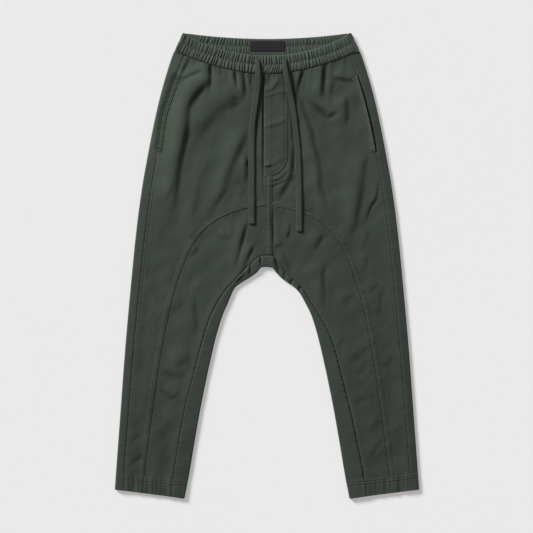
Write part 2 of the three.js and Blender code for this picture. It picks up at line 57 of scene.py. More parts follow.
WINDOW_CLIMB = 22             # degrees above the table
WINDOW_SPREAD = 16            # degrees across the soft source
WINDOW_LIGHT = 6.3
ROOM_LIGHT = 0.27


class Shade:
    """A socket of a material's nodes. Arithmetic on it adds the Math nodes that work it out."""

    def __init__(self, tree, socket=None):
        self.tree = tree
        self.socket = socket

    def node(self, kind, settings=None, sockets=None, output=0):
        made = self.tree.nodes.new(kind)
        for name, value in (settings or {}).items():
            setattr(made, name, value)
        for place, value in (sockets or {}).items():
            if isinstance(value, Shade):
                self.tree.links.new(value.socket, made.inputs[place])
            else:
                made.inputs[place].default_value = value
        return Shade(self.tree, made.outputs[output])

    def other(self, output):
        return Shade(self.tree, self.socket.node.outputs[output])

    def math(self, operation, first, second=0.0):
        return self.node("ShaderNodeMath", {"operation": operation}, {0: first, 1: second})

    def __add__(self, value):
        return self.math("ADD", self, value)

    def __radd__(self, value):
        return self.math("ADD", value, self)

    def __sub__(self, value):
        return self.math("SUBTRACT", self, value)

    def __rsub__(self, value):
        return self.math("SUBTRACT", value, self)

    def __mul__(self, value):
        return self.math("MULTIPLY", self, value)

    def __rmul__(self, value):
        return self.math("MULTIPLY", value, self)

    def noise(self, scale, detail=2.0):
        return self.node("ShaderNodeTexNoise", sockets={"Vector": self, "Scale": scale, "Detail": detail})

    def mixed(self, first, second):
        """A colour between two, by this factor."""
        return self.node(
            "ShaderNodeMix", {"data_type": "RGBA"}, {0: self, 6: first, 7: second}, output=2)


def start_material(name):
    material = bpy.data.materials.new(name)
    material.use_nodes = True
    shade = Shade(material.node_tree)
    surface = material.node_tree.nodes["Principled BSDF"]
    return material, shade, surface


def connect(surface, sockets):
    """Sets a shader's own sockets to plain values, or links what changes over the surface."""
    for place, value in sockets.items():
        if isinstance(value, Shade):
            value.tree.links.new(value.socket, surface.inputs[place])
        else:
            surface.inputs[place].default_value = value


def table_top():
    material, shade, surface = start_material("pale_table_top")
    place = shade.node("ShaderNodeTexCoord", output="Object")
    tone = place.noise(1.5).mixed([TABLE_MOTTLE * c for c in TABLE_COLOUR], TABLE_COLOUR)
    # The table top glows a little: painted light that lifts the shadows on it.
    connect(surface, {
        "Base Color": tone, "Roughness": 0.9, "Specular IOR Level": 0.1,
        "Emission Color": (1, 1, 1, 1), "Emission Strength": TABLE_GLOW})
    half = TABLE_SIDE / 2
    mesh = bpy.data.meshes.new("table_top")
    corners = [(-half, -half, 0), (half, -half, 0), (half, half, 0), (-half, half, 0)]
    mesh.from_pydata(corners, [], [(0, 1, 2, 3)])
    mesh.materials.append(material)
    top = bpy.data.objects.new("table_top", mesh)
    top.location.z = -TABLE_DROP
    bpy.context.collection.objects.link(top)


def window_light():
    data = bpy.data.lights.new("window", "SUN")
    data.angle = math.radians(WINDOW_SPREAD)
    data.energy = WINDOW_LIGHT
    window = bpy.data.objects.new("window", data)
    rise = math.hypot(*WINDOW_FROM) * math.tan(math.radians(WINDOW_CLIMB))
    window.location = (*WINDOW_FROM, rise)
    window.rotation_euler = (-window.location).to_track_quat("-Z", "Y").to_euler()
    bpy.context.collection.objects.link(window)
    world = bpy.data.worlds.new("room")
    world.use_nodes = True
    room = world.node_tree.nodes["Background"]
    room.inputs["Color"].default_value = (1.0, 1.0, 1.0, 1)
    room.inputs["Strength"].default_value = ROOM_LIGHT
    bpy.context.scene.world = world


def overhead_camera():
    data = bpy.data.cameras.new("overhead")
    data.lens = LENS * 1000
    data.sensor_width = SENSOR * 1000
    camera = bpy.data.objects.new("overhead", data)
    camera.location = (*VIEW_CENTRE, VIEW_WIDTH * LENS / SENSOR)
    bpy.context.collection.objects.link(camera)
    bpy.context.scene.camera = camera


table_top()
window_light()
overhead_camera()
bpy.context.scene.view_settings.view_transform = "Standard"


# Back panels
# Each back leg is one wide panel of washed cotton twill, flat on the table under the front.
# It is folded forward at both edges, so the side seam and the inner leg seam show on the front.
CLOTH_COLOUR = (0.0300, 0.0394, 0.0296)
THREAD_TONE = 1.4             # the thread is this much paler than the cloth
TWILL_CONTRAST = 0.64         # how far the darkest and palest tones lie from the cloth's colour
WALE = 0.0009                 # distance between the diagonal lines of the twill
THREAD = 0.0004
STITCH = 0.0020
STITCH_PITCH = 0.0023
SHARP_ANGLE = 50              # degrees from which an edge isn't shaded smooth
CLOTH = 0.0011
SEAM = 0.0004                 # clearance between two sewn pieces
LAY = 0.0003                  # clearance under a piece that lies on another
FOLD_RADIUS = 0.00315
STRIP_WAIST = 0.022           # back panel seen beside the side seam, at the waist
STRIP_HEM = 0.017             # and at the hem
FRONT_BAND = {"top": 0.451, "top_rise": 0.049, "top_half": 0.181, "bottom": 0.4106, "rise": 0.0464,
              "half": 0.191}
BACK_BAND = {"top": 0.487, "top_rise": 0.013, "bottom": 0.446, "rise": 0.0146, "half": 0.199}
BAND_END = {"low": (0.199, 0.4606), "high": (0.181, 0.5)}
HEM_NORMAL = (-0.992, 0.126)
HEM_RAISE = 0.0006
HEM_FROM = 15.29              # stations between which the turned-up hem steps up
HEM_TO = 15.35
HEM_ROWS = (15.38, 15.50)     # stations of the hem's two rows of stitching
HEM_ROW_DEPTH = 0.0006
HEM_ROW_WIDTH = 0.012         # in stations
HEM_ROW_STEPS = (-0.04, -0.022, -0.01, 0, 0.01, 0.022, 0.04)    # extra stations round each row
HEM_ROW_CLEAR = 0.05          # even stations stay this far from a row
# painted shade in the dents of the hem's two rows of stitching
HEM_ROW_SHADE = 0.22
HEM_PRESSED = 0.7             # share of the seams' depth that the hem presses flat
HEM_PUCKERS = {"height": 0.00036, "waves": (0.010, 0.017, 0.029), "seed": 91}
GUSSET_TIP = 0.1              # the gusset narrows to a point on the centre back seam
GUSSET_SHORT = 0.005          # it stops this far below the point
GUSSET_ROWS = 0.6             # share of the back's upper rows that lie above that point
GUSSET_SPLIT = 0.012          # share of a station kept clear on each side of its edge
PANEL_PITCH = 0.0026
WAIST_ROWS = 90               # rows of the back from the waist to the crown of the saddle seam
CROTCH_ROWS = 14              # and on to the crotch
BACK_WEAR = 0.05
BACK_TONED_FROM = 0.001        # height over the table from which the back shows its tone and painted light and shade

# Outer edge of the garment: height, half width
OUTLINE = np.array([
    (-0.481, 0.327), (-0.332, 0.316), (-0.177, 0.3045), (-0.038, 0.292), (0.076, 0.2805),
    (0.173, 0.2675), (0.237, 0.256), (0.302, 0.2435), (0.367, 0.2285), (0.429, 0.2105),
    (0.461, 0.199), (0.5, 0.181),
])
# Stations down a leg: station, saddle seam x and y, height reached on the side seam
LEG = np.array([
    (0, 0, 0.128, 0.192), (1, 0.036, 0.123, 0.168), (2, 0.066, 0.116, 0.146),
    (3, 0.094, 0.1045, 0.126), (4, 0.118, 0.0895, 0.107), (5, 0.139, 0.07, 0.086),
    (6, 0.156, 0.048, 0.063), (7, 0.171, 0.02, 0.036), (8, 0.183, -0.01, 0.008),
    (9, 0.195, -0.045, -0.028), (10, 0.207, -0.09, -0.078), (11, 0.219, -0.148, -0.138),
    (12, 0.231, -0.212, -0.204), (13, 0.242, -0.29, -0.283), (14, 0.253, -0.367, -0.361),
    (15, 0.262, -0.438, -0.432), (16, 0.2675, -0.4885, -0.483),
])
# The same stations inside the leg: station, folded edge x and y, inner seam x and y
INNER = {
    "left": np.array([
        (0, 0, -0.003, 0, 0.022), (1, 0.012, -0.0055, 0.0135, 0.0205),
        (2, 0.02, -0.0155, 0.026, 0.004), (3, 0.03, -0.026, 0.039, -0.012),
        (4, 0.044, -0.0365, 0.053, -0.027), (5, 0.058, -0.046, 0.07, -0.042),
        (6, 0.07, -0.059, 0.082, -0.057), (7, 0.081, -0.078, 0.095, -0.079),
        (8, 0.094, -0.104, 0.1095, -0.103), (9, 0.1035, -0.132, 0.126, -0.13),
        (10, 0.1125, -0.165, 0.14, -0.163), (11, 0.1215, -0.204, 0.1525, -0.204),
        (12, 0.131, -0.248, 0.1635, -0.248), (13, 0.143, -0.308, 0.1785, -0.307),
        (14, 0.155, -0.376, 0.193, -0.375), (15, 0.1665, -0.445, 0.2065, -0.443),
        (16, 0.177, -0.5, 0.213, -0.4955),
    ]),
    "right": np.array([
        (0, 0, -0.003, 0, 0.022), (1, 0.012, -0.0045, 0.0135, 0.0205),
        (2, 0.022, -0.015, 0.027, 0.011), (3, 0.037, -0.026, 0.041, -0.0015),
        (4, 0.055, -0.037, 0.057, -0.018), (5, 0.069, -0.048, 0.074, -0.036),
        (6, 0.077, -0.064, 0.088, -0.051), (7, 0.084, -0.081, 0.101, -0.07),
        (8, 0.094, -0.104, 0.115, -0.094), (9, 0.1035, -0.132, 0.127, -0.123),
        (10, 0.1125, -0.165, 0.1385, -0.16), (11, 0.1215, -0.204, 0.15, -0.204),
        (12, 0.131, -0.248, 0.161, -0.247), (13, 0.143, -0.308, 0.176, -0.306),
        (14, 0.155, -0.376, 0.1885, -0.375), (15, 0.1665, -0.445, 0.1995, -0.443),
        (16, 0.177, -0.5, 0.2045, -0.4965),
    ]),
}
LAST = 16


def twill(name, colour):
    """Washed cotton twill: diagonal wales, slubs, pale and dark patches, a short soft nap, worn tone and
    painted light and shade.
    """
    material, shade, surface = start_material(name)
    place = shade.node("ShaderNodeTexCoord", output="Object")
    parts = place.node("ShaderNodeSeparateXYZ", sockets={0: place})
    x, y = parts, parts.other("Y")
    diagonal = shade.math("SINE", (x * 0.6 + y * 0.8) * (2 * math.pi / WALE))
    long_yarns = place.node(
        "ShaderNodeVectorMath", {"operation": "MULTIPLY"}, {0: place, 1: (900, 120, 900)})
    slubs = long_yarns.noise(1.0, 3.0)
    grain = place.noise(420.0, 3.0)
    patches = place.noise(26.0, 3.0)
    # worn paleness and painted light and shade, stored on each piece's points
    wear_and_painted_light = shade.node("ShaderNodeAttribute", {"attribute_name": "wear_and_painted_light"}, output="Fac")
    factor = (0.5 + (slubs - 0.5) * 0.3 + (grain - 0.5) * 0.45 + (patches - 0.5) * 0.35
              + diagonal * 0.03 + wear_and_painted_light * 0.625)
    dark = (*[c * (1 - TWILL_CONTRAST) for c in colour], 1)
    light = (*[c * (1 + TWILL_CONTRAST) for c in colour], 1)
    height = diagonal * 0.00004 + slubs * 0.00012 + grain * 0.00022
    bump = shade.node("ShaderNodeBump", sockets={"Strength": 0.7, "Distance": 1.0, "Height": height})
    connect(surface, {
        "Base Color": factor.mixed(dark, light),
        "Roughness": 0.78 + (grain - 0.5) * 0.2,
        "Specular IOR Level": 0.3,
        "Sheen Weight": 0.12,
        "Sheen Roughness": 0.5,
        "Sheen Tint": (0.85, 0.95, 0.85, 1),
        "Normal": bump,
    })
    return material


def thread_material(name, colour):
    """Spun thread, with the small bumps of its twist."""
    material, shade, surface = start_material(name)
    place = shade.node("ShaderNodeTexCoord", output="Object")
    twist = place.noise(2600.0, 1.0)
    bump = shade.node("ShaderNodeBump", sockets={"Strength": 0.5, "Distance": 0.0003, "Height": twist})
    tone = twist.mixed((*[0.75 * c for c in colour], 1), (*[1.25 * c for c in colour], 1))
    connect(surface, {"Base Color": tone, "Roughness": 0.6, "Normal": bump})
    return material


cloth_twill = twill("olive_twill", CLOTH_COLOUR)
tonal_thread = thread_material("tonal_thread", [c * THREAD_TONE for c in CLOTH_COLOUR])


def new_piece(name, points, faces, material, wear_and_painted_light=None):
    """A smooth mesh piece that rides on the garment, with its share of worn tone and painted light and
    shade at each point.
    """
    mesh = bpy.data.meshes.new(name)
    mesh.from_pydata(points.tolist(), [], [list(map(int, face)) for face in faces])
    mesh.shade_smooth()
    mesh.set_sharp_from_angle(angle=math.radians(SHARP_ANGLE))
    if wear_and_painted_light is not None:
        shares = mesh.attributes.new("wear_and_painted_light", "FLOAT", "POINT")
        shares.data.foreach_set("value", wear_and_painted_light.astype(np.float32))
    mesh.materials.append(material)
    piece = bpy.data.objects.new(name, mesh)
    bpy.context.collection.objects.link(piece)
    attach(piece, "root")
    return piece


def passed(line):
    """Length of a line of points up to each of them."""
    return np.cumsum(np.concatenate([[0], np.linalg.norm(np.diff(line, axis=0), axis=1)]))


def spaced(line, spacing):
    """The points of a line, set again at an even spacing along it."""
    run = passed(line)
    places = np.linspace(0, run[-1], max(2, round(run[-1] / spacing) + 1))
    return np.stack([np.interp(places, run, column) for column in line.T], axis=1)


def smooth_line(points, spacing):
    """Evenly spaced points on one smooth curve through the given ones."""
    points = np.array(points, float)
    first, last = 2 * points[0] - points[1], 2 * points[-1] - points[-2]
    full = np.vstack([first, points, last])
    t = np.linspace(0, 1, 12, endpoint=False)[:, None]
    dense = [
        0.5 * (2 * b + (c - a) * t + (2 * a - 5 * b + 4 * c - d) * t ** 2
               + (3 * b - a - 3 * c + d) * t ** 3)
        for a, b, c, d in zip(full, full[1:], full[2:], full[3:])
    ]
    return spaced(np.vstack([*dense, points[-1:]]), spacing)


def unit(vectors):
    return vectors / np.linalg.norm(vectors, axis=-1, keepdims=True)


def sew(name, rows):
    """Rows of lockstitch: one short rounded length of thread for each stitch, sunk in the cloth."""
    ring = [(math.cos(a), math.sin(a)) for a in np.arange(5) * 2 * math.pi / 5]
    half, thick = STITCH / 2, THREAD / 2
    shoulder, sunk = 0.62 * half, 0.4 * thick
    shape = np.array([
        (-half, 0, -sunk),
        *[(-shoulder, thick * c, thick * s) for c, s in ring],
        *[(shoulder, thick * c, thick * s) for c, s in ring],
        (half, 0, -sunk),
    ])
    faces = []
    for i in range(5):
        j = (i + 1) % 5
        faces += [(0, 1 + j, 1 + i), (1 + i, 1 + j, 6 + j), (1 + i, 6 + j, 6 + i), (11, 6 + i, 6 + j)]
    points, all_faces = [], []
    for row in rows:
        line = spaced(np.array(row, float), STITCH_PITCH)
        ahead = unit(np.diff(line, axis=0))
        across = unit(np.cross(ahead, (0, 0, 1.0)))
        above = np.cross(across, ahead)
        middle = (line[:-1] + line[1:]) / 2
        made = (middle[:, None] + shape[None, :, 0:1] * ahead[:, None]
                + shape[None, :, 1:2] * across[:, None] + shape[None, :, 2:3] * above[:, None])
        start = sum(len(p) for p in points)
        points.append(made.reshape(-1, 3))
        counts = start + len(shape) * np.arange(len(middle))
        all_faces.append((np.array(faces)[None] + counts[:, None, None]).reshape(-1, 3))
    piece = new_piece(name, np.vstack(points), np.vstack(all_faces), tonal_thread)
    return piece


def mix(a, b, t):
    return a + (b - a) * t


def ramp(low, high, value):
    """A smooth step from 0 at low to 1 at high."""
    t = np.clip((value - low) / (high - low), 0, 1)
    return t * t * (3 - 2 * t)


def bell(distance, width):
    """1 at no distance, falling away smoothly on both sides."""
    return np.exp(-(distance / width) ** 2)


def along(table, column, place):
    """A column's value at a place along a table's first column, on one smooth curve."""
    keys, values = table[:, 0], table[:, column]
    last = len(keys) - 1
    i = np.clip(np.searchsorted(keys, place) - 1, 0, last - 1)
    before, after = np.maximum(np.arange(last + 1) - 1, 0), np.minimum(np.arange(last + 1) + 1, last)
    slopes = (values[after] - values[before]) / (keys[after] - keys[before])
    span = keys[i + 1] - keys[i]
    t = (place - keys[i]) / span
    bend = t * t * (3 - 2 * t)
    return (values[i] * (1 - bend) + values[i + 1] * bend
            + span * t * (1 - t) * (slopes[i] * (1 - t) - slopes[i + 1] * t))


def front_band_top(x):
    return FRONT_BAND["top"] + FRONT_BAND["top_rise"] * (np.abs(x) / FRONT_BAND["top_half"]) ** 2.15


def front_band_bottom(x):
    return FRONT_BAND["bottom"] + FRONT_BAND["rise"] * (np.abs(x) / FRONT_BAND["half"]) ** 1.8


def back_band_bottom(x):
    return BACK_BAND["bottom"] + BACK_BAND["rise"] * (x / BACK_BAND["half"]) ** 2


SIDES = {"left": 1, "right": -1}    # the wearer's, and the way that each lies along X
SIDE_TOP = front_band_bottom(BAND_END["low"][0] - STRIP_WAIST) - SEAM
FOLD_TOP = BAND_END["low"][1] - SEAM
EDGE_LEAD = 0.002             # each row meets the outer edge this much higher than its side seam
# The opening of the wearer's right pocket lies pulled outward over the strip of the back
POCKET_PULL = {"whole": 0.0040, "top": (0.425, 0.400), "bottom": (0.215, 0.255),
               "middle": 0.0050, "middle_y": 0.322, "middle_reach": 0.048}


def side_y(at):
    waist = mix(SIDE_TOP, LEG[0, 3], at + 1)
    return np.where(at < 0, waist, along(LEG, 3, np.maximum(at, 0)))


def outer_edge(at):
    y = side_y(at) + EDGE_LEAD + np.where(at < 0, (FOLD_TOP - SIDE_TOP - EDGE_LEAD) * at * at, 0)
    return np.column_stack([along(OUTLINE, 1, y), y])


def side_pull(side, y):
    """How far the side seam is drawn outward at a height."""
    if side == "left":
        return np.zeros_like(y)
    open_part = ramp(*POCKET_PULL["top"], y) * ramp(*POCKET_PULL["bottom"], y)
    middle = bell(y - POCKET_PULL["middle_y"], POCKET_PULL["middle_reach"])
    return POCKET_PULL["whole"] * open_part + POCKET_PULL["middle"] * middle


def side_seam(side, at):
    y = side_y(at)
    down = (SIDE_TOP - y) / (SIDE_TOP - LEG[-1, 3])
    strip = mix(STRIP_WAIST, STRIP_HEM, down) - side_pull(side, y)
    return np.column_stack([outer_edge(at)[:, 0] - strip, y])


def saddle_seam(at):
    return np.column_stack([along(LEG, 1, at), along(LEG, 2, at)])


def inner_edge(side, at):
    return np.column_stack([along(INNER[side], 1, at), along(INNER[side], 2, at)])


def inner_seam(side, at):
    return np.column_stack([along(INNER[side], 3, at), along(INNER[side], 4, at)])


def moved_towards(start, end, distance):
    return start + unit(end - start) * distance


def stations(first, last, pitch, line):
    """Stations from first to last whose points on a line lie about one pitch apart."""
    fine = np.linspace(first, last, 800)
    run = passed(line(fine))
    return np.interp(np.linspace(0, run[-1], round(run[-1] / pitch) + 1), run, fine)


def leg_stations(first):
    """Even stations down a leg, with more of them at the hem's two rows of stitching."""
    even = stations(first, LAST, PANEL_PITCH, saddle_seam)
    close = [row + step for row in HEM_ROWS for step in HEM_ROW_STEPS]
    apart = [at for at in even if min(abs(at - row) for row in HEM_ROWS) > HEM_ROW_CLEAR]
    return np.array(sorted([*apart, *close]))


def hem_rows(at):
    """1 on the hem's rows of stitching, 0 away from them."""
    return sum(bell(at - row, HEM_ROW_WIDTH) for row in HEM_ROWS)


def hem_step(at):
    """The turned-up hem: one more layer of cloth, with two pressed rows of stitching."""
    return HEM_RAISE * ramp(HEM_FROM, HEM_TO, at) - HEM_ROW_DEPTH * hem_rows(at)


def seam_calm(at):
    """How deep the seams are, pressed flatter where the turned-up hem holds them."""
    return 1 - HEM_PRESSED * ramp(HEM_FROM, HEM_TO, at)


def half_gap(at):
    """From a seam's line to the cloth on each side of it."""
    return SEAM / 2 * seam_calm(at)[:, None]


def uneven(place, wavelengths, seed):
    """An uneven wave of height about 1, from a few sine waves with shifts drawn by a seed."""
    draw = np.random.default_rng(seed)
    total = np.zeros_like(place)
    for length in wavelengths:
        total += np.sin(place * 2 * math.pi / length + draw.uniform(0, 2 * math.pi)
                        + 0.8 * np.sin(place * 2 * math.pi / (3.3 * length) + draw.uniform(0, 6)))
    return total / math.sqrt(len(wavelengths))


def puckers(place, height, waves, seed):
    """Small uneven waves along a place on sewn cloth."""
    return height * uneven(place, waves, seed)


def hem_puckers(x, at):
    """Small upright puckers of the hem, which begin above its stitching."""
    return puckers(x, **HEM_PUCKERS) * ramp(HEM_FROM - 0.1, HEM_TO, at)


# The opening edge of each pocket stands a little off the back panel, which sinks beside it
POCKET = {"top": 0.411, "bottom": 0.246, "width": 0.0105, "ends": 0.006}
POCKET_GAPE = {
    "left": {"sunk": 0.0034, "reach": 0.0012, "lift": 0.0018},
    "right": {"sunk": 0.0016, "reach": 0.0030, "lift": 0.0004},
}

# Creases of the turned edge round the crotch: depth and width of the trough, height and reach
# of the ridge beside it, then the line of the trough.
CROTCH_FOLDS = [
    (0.0028, 0.0042, 0.0010, 0.0050, [
        (0.0170, 0.0230), (0.0200, 0.0080), (0.0245, -0.0060), (0.0270, -0.0240)]),
    (0.0018, 0.0026, 0.0010, 0.0050, [(-0.0330, 0.0080), (-0.0350, -0.0030), (-0.0370, -0.0220)]),
    (0.0016, 0.0024, 0.0008, 0.0040, [(-0.0125, 0.0260), (-0.0130, 0.0080), (-0.0120, -0.0060)]),
    (0.0016, 0.0035, 0.0010, 0.0055, [(0.0620, -0.0260), (0.0540, -0.0320), (0.0470, -0.0440)]),
    (0.0018, 0.0030, 0.0014, 0.0050, [(0.0760, -0.0400), (0.0700, -0.0500), (0.0730, -0.0680)]),
    (0.0014, 0.0030, 0.0010, 0.0050, [(-0.0460, -0.0200), (-0.0580, -0.0300), (-0.0720, -0.0380)]),
    (0.0010, 0.0030, 0.0010, 0.0050, [(0.0360, -0.0060), (0.0380, -0.0180), (0.0390, -0.0340)]),
]


def to_segment(x, y, x0, y0, x1, y1):
    """Distance to a straight line between two points, and the share of it that is passed."""
    dx, dy = x1 - x0, y1 - y0
    t = np.clip(((x - x0) * dx + (y - y0) * dy) / (dx * dx + dy * dy), 0, 1)
    return np.hypot(x - x0 - t * dx, y - y0 - t * dy), t


def across_fold(s, trough, width, ridge, reach):
    """Height across a fold: a narrow trough, then a ridge that falls away slowly from it."""
    past = (s + np.sqrt(s * s + (0.25 * reach) ** 2)) / 2
    return ridge * past / reach * np.exp(1 - past / reach) - trough * bell(s, width)


FOLD_PAINTED_LIGHT = 75                # how strongly light and shade are painted across a fold
FOLD_END = 0.12               # longer folds fade in as fast as one of this length
FOLD_SPACING = 0.004          # between the points of a fold's smooth line


def fold_height(x, y, trough, width, ridge, reach, points, tone=None):
    """One fold of the cloth, uneven along its length and dying out at both ends. Where a tone is
    given, a painted highlight goes on the fold's lit ridge and painted shade into its trough."""
    line = smooth_line(points, FOLD_SPACING)
    height = np.zeros_like(x)
    margin = 3 * width + 6 * reach
    low, high = line.min(axis=0) - margin, line.max(axis=0) + margin
    near = (x > low[0]) & (x < high[0]) & (y > low[1]) & (y < high[1])
    px, py = x[near], y[near]
    best, share, side = np.full_like(px, 1.0), np.zeros_like(px), np.ones_like(px)
    total = len(line) - 1
    for i, ((x0, y0), (x1, y1)) in enumerate(zip(line, line[1:])):
        distance, t = to_segment(px, py, x0, y0, x1, y1)
        closer = distance < best
        turn = (y1 - y0) * (px - x0) - (x1 - x0) * (py - y0)
        best = np.where(closer, distance, best)
        share = np.where(closer, (i + t) / total, share)
        side = np.where(closer, np.where(turn > 0, 1.0, -1.0), side)
    end = min(1.0, FOLD_END / (FOLD_SPACING * total))
    fade = ramp(0, 0.28 * end, share) * ramp(0, 0.36, 1 - share)
    fade = fade * (1 + 0.15 * np.sin(share * 11 + 40 * width / reach + 90 * line[0, 0]))
    s = side * best
    height[near] = fade * across_fold(s, trough, width, ridge, reach)
    if tone is not None:
        # painted shade in the trough and a painted highlight on the lit ridge
        dark = bell(s - 0.3 * reach, 0.5 * reach + width)
        light = bell(s - 2.2 * reach, 1.4 * reach)
        tone[near] += FOLD_PAINTED_LIGHT * fade * (trough + ridge) * (0.35 * light - dark)
    return height


STRIP_PLACES = (0, 0.0006, 0.0014, 0.0024, 0.0036, 0.0055, 0.008)    # from the seam outward
STRIP_SHARES = (0.45, 0.6, 0.8)    # and on, as shares of the strip's width
ROUND_STEPS = 12


def folded_edge(edge, seam, normal, radius, cloth, lift, roll, sunk, reach):
    """Rows from a seam, over the rounded edge, down to the table: outer points, inner points.
    The cloth sinks at the seam within a reach, and rolls down towards the rounded edge."""
    centre = edge - normal * radius
    width = np.linalg.norm(centre - seam, axis=1)
    outer, inner = [], []
    shares = [distance / width for distance in STRIP_PLACES]
    shares += [np.full_like(width, share) for share in STRIP_SHARES]
    for share in shares:
        share = np.clip(share, 0, 0.98)
        place = seam + (centre - seam) * share[:, None]
        from_seam = share * width
        drop = sunk * bell(from_seam, reach) + roll * share * share
        height = 2 * radius + lift(place[:, 0], place[:, 1], from_seam) - drop
        outer.append(np.column_stack([place, height]))
        inner.append(np.column_stack([place, np.minimum(2 * radius - cloth, height - 0.5 * cloth)]))
    flat = lift(centre[:, 0], centre[:, 1], width) - roll
    for angle in np.linspace(math.pi / 2, -math.pi / 2, ROUND_STEPS + 1):
        upper = max(math.sin(angle), 0)
        height = radius + radius * math.sin(angle) + flat * upper
        outer.append(np.column_stack([centre + normal * radius * math.cos(angle), height]))
        size = radius - cloth
        below = 2 * radius - cloth + np.minimum(flat, 0) * upper
        height = np.minimum(radius + size * math.sin(angle), below)
        inner.append(np.column_stack([centre + normal * size * math.cos(angle), height]))
    return np.stack(outer, axis=1), np.stack(inner, axis=1)


DAPPLES = {"seed": 21, "waves": 70, "lengths": (0.012, 0.075), "turn": -0.55, "spread": 0.55,
           "height": 0.0009}


def dapples(x, y):
    """Soft shallow dents all over the washed cloth, most of them leaning the same way."""
    draw = np.random.default_rng(DAPPLES["seed"])
    total = np.zeros_like(x)
    for _ in range(DAPPLES["waves"]):
        length = draw.uniform(*DAPPLES["lengths"])
        turn = draw.normal(DAPPLES["turn"], DAPPLES["spread"])
        phase = (x * math.cos(turn) + y * math.sin(turn)) * 2 * math.pi / length
        total += length * np.sin(phase + draw.uniform(0, 2 * math.pi))
    patches = 1 + 0.4 * np.sin(x * 21 + 1.3 * np.sin(y * 13)) * np.sin(y * 17 + 2)
    return DAPPLES["height"] * total * patches


# Places painted paler where light falls on the hip nearest the window, darker in the shade beside the
# cords and in creases, and darker over the lower legs: centre, reach across and up, amount
PAINTED_LIGHT_AND_SHADE = [
    (-0.212, 0.340, 0.034, 0.095, 0.36), (-0.247, 0.320, 0.022, 0.150, 0.54),
    (-0.165, 0.425, 0.030, 0.030, 0.14), (-0.198, 0.430, 0.018, 0.040, 0.20),
    (0.090, 0.400, 0.024, 0.040, 0.08), (0.1050, 0.3410, 0.008, 0.007, -0.16),
    (0.1150, 0.3325, 0.008, 0.007, -0.24), (0.1260, 0.3240, 0.008, 0.006, -0.24),
    (0.1360, 0.3200, 0.007, 0.006, -0.12), (-0.078, 0.196, 0.008, 0.024, -0.20),
    (0.0010, 0.2125, 0.007, 0.0020, -0.50), (-0.0424, 0.205, 0.0035, 0.032, -0.40),
    (0.0250, 0.000, 0.008, 0.015, -0.56), (0.036, -0.014, 0.010, 0.014, -0.20),
    (-0.085, 0.260, 0.030, 0.050, 0.06), (-0.092, 0.335, 0.045, 0.060, 0.10),
    (-0.230, -0.420, 0.120, 0.190, -0.28), (0.250, -0.330, 0.140, 0.330, -0.29),
    (0.130, 0.060, 0.110, 0.120, -0.10), (-0.165, -0.210, 0.040, 0.090, -0.07),
    (-0.020, 0.030, 0.050, 0.040, -0.05),
    (-0.0130, 0.400, 0.0040, 0.022, -0.50), (-0.0175, 0.355, 0.0040, 0.030, -0.50),
    (-0.0225, 0.305, 0.0035, 0.035, -0.45), (-0.0255, 0.250, 0.0025, 0.035, -0.35),
    (0.0560, 0.375, 0.0035, 0.018, -0.50), (0.0550, 0.285, 0.0030, 0.035, -0.45),
]


def painted_light_and_shade(x, y):
    """Painted light and shade at places on the front, as a share of paleness."""
    total = np.zeros_like(x)
    for x0, y0, wide, high, amount in PAINTED_LIGHT_AND_SHADE:
        total += amount * bell(x - x0, wide) * bell(y - y0, high)
    return total


SIDE_PUCKERS = {"height": 0.00018, "waves": (0.011, 0.017, 0.027), "seed": 3}
SIDE_PUCKER_REACH = 0.006
SIDE_SUNK = {"left": 0.0005, "right": 0.0006}    # the side seam's depth
SIDE_SUNK_LOW = {"left": 0, "right": 0.0001}     # and more below the pocket
SIDE_REACH = 0.0016
SIDE_ROLL = {"left": 0.0012, "right": 0.0006}
BELOW_POCKET = (0.23, 0.13)    # heights over which the side seam's depth changes


def outer_fold(side, at):
    """The back panel's folded outer edge, from the side seam down to the table."""
    sign = SIDES[side]
    edge = outer_edge(at)
    seam = moved_towards(side_seam(side, at), edge, half_gap(at))
    y = seam[:, 1]
    pocket = ramp(POCKET["top"] + POCKET["ends"], POCKET["top"] - POCKET["ends"], y)
    pocket *= ramp(POCKET["bottom"] - POCKET["ends"], POCKET["bottom"] + POCKET["ends"], y)

    def lift(x, y, from_seam):
        pucker = puckers(y, **SIDE_PUCKERS) * bell(from_seam, SIDE_PUCKER_REACH)
        return hem_step(at) + hem_puckers(x, at) + pucker + 0.5 * dapples(sign * x, y)

    plain = SIDE_SUNK[side] + SIDE_SUNK_LOW[side] * ramp(*BELOW_POCKET, y)
    sunk = (plain + (POCKET_GAPE[side]["sunk"] - plain) * pocket) * seam_calm(at)
    reach = SIDE_REACH + POCKET_GAPE[side]["reach"] * pocket
    normal = unit(edge - seam)
    return folded_edge(edge, seam, normal, FOLD_RADIUS, CLOTH, lift, SIDE_ROLL[side], sunk, reach)


INNER_PUCKERS = {
    "left": {"height": 0.00035, "waves": (0.16, 0.27, 0.4), "seed": 5},
    "right": {"height": 0.00035, "waves": (0.16, 0.27, 0.4), "seed": 6},
}                             # their waves are in stations
INNER_PUCKER_REACH = 0.008
INNER_SUNK = {"left": (0.0013, 0.0013), "right": (0.0016, 0.0006)}    # above the knee, below it
INNER_KNEE = (9.5, 12.5)      # stations between which it changes
INNER_REACH = 0.0016
INNER_ROLL = {"left": 0.0006, "right": 0.0012}


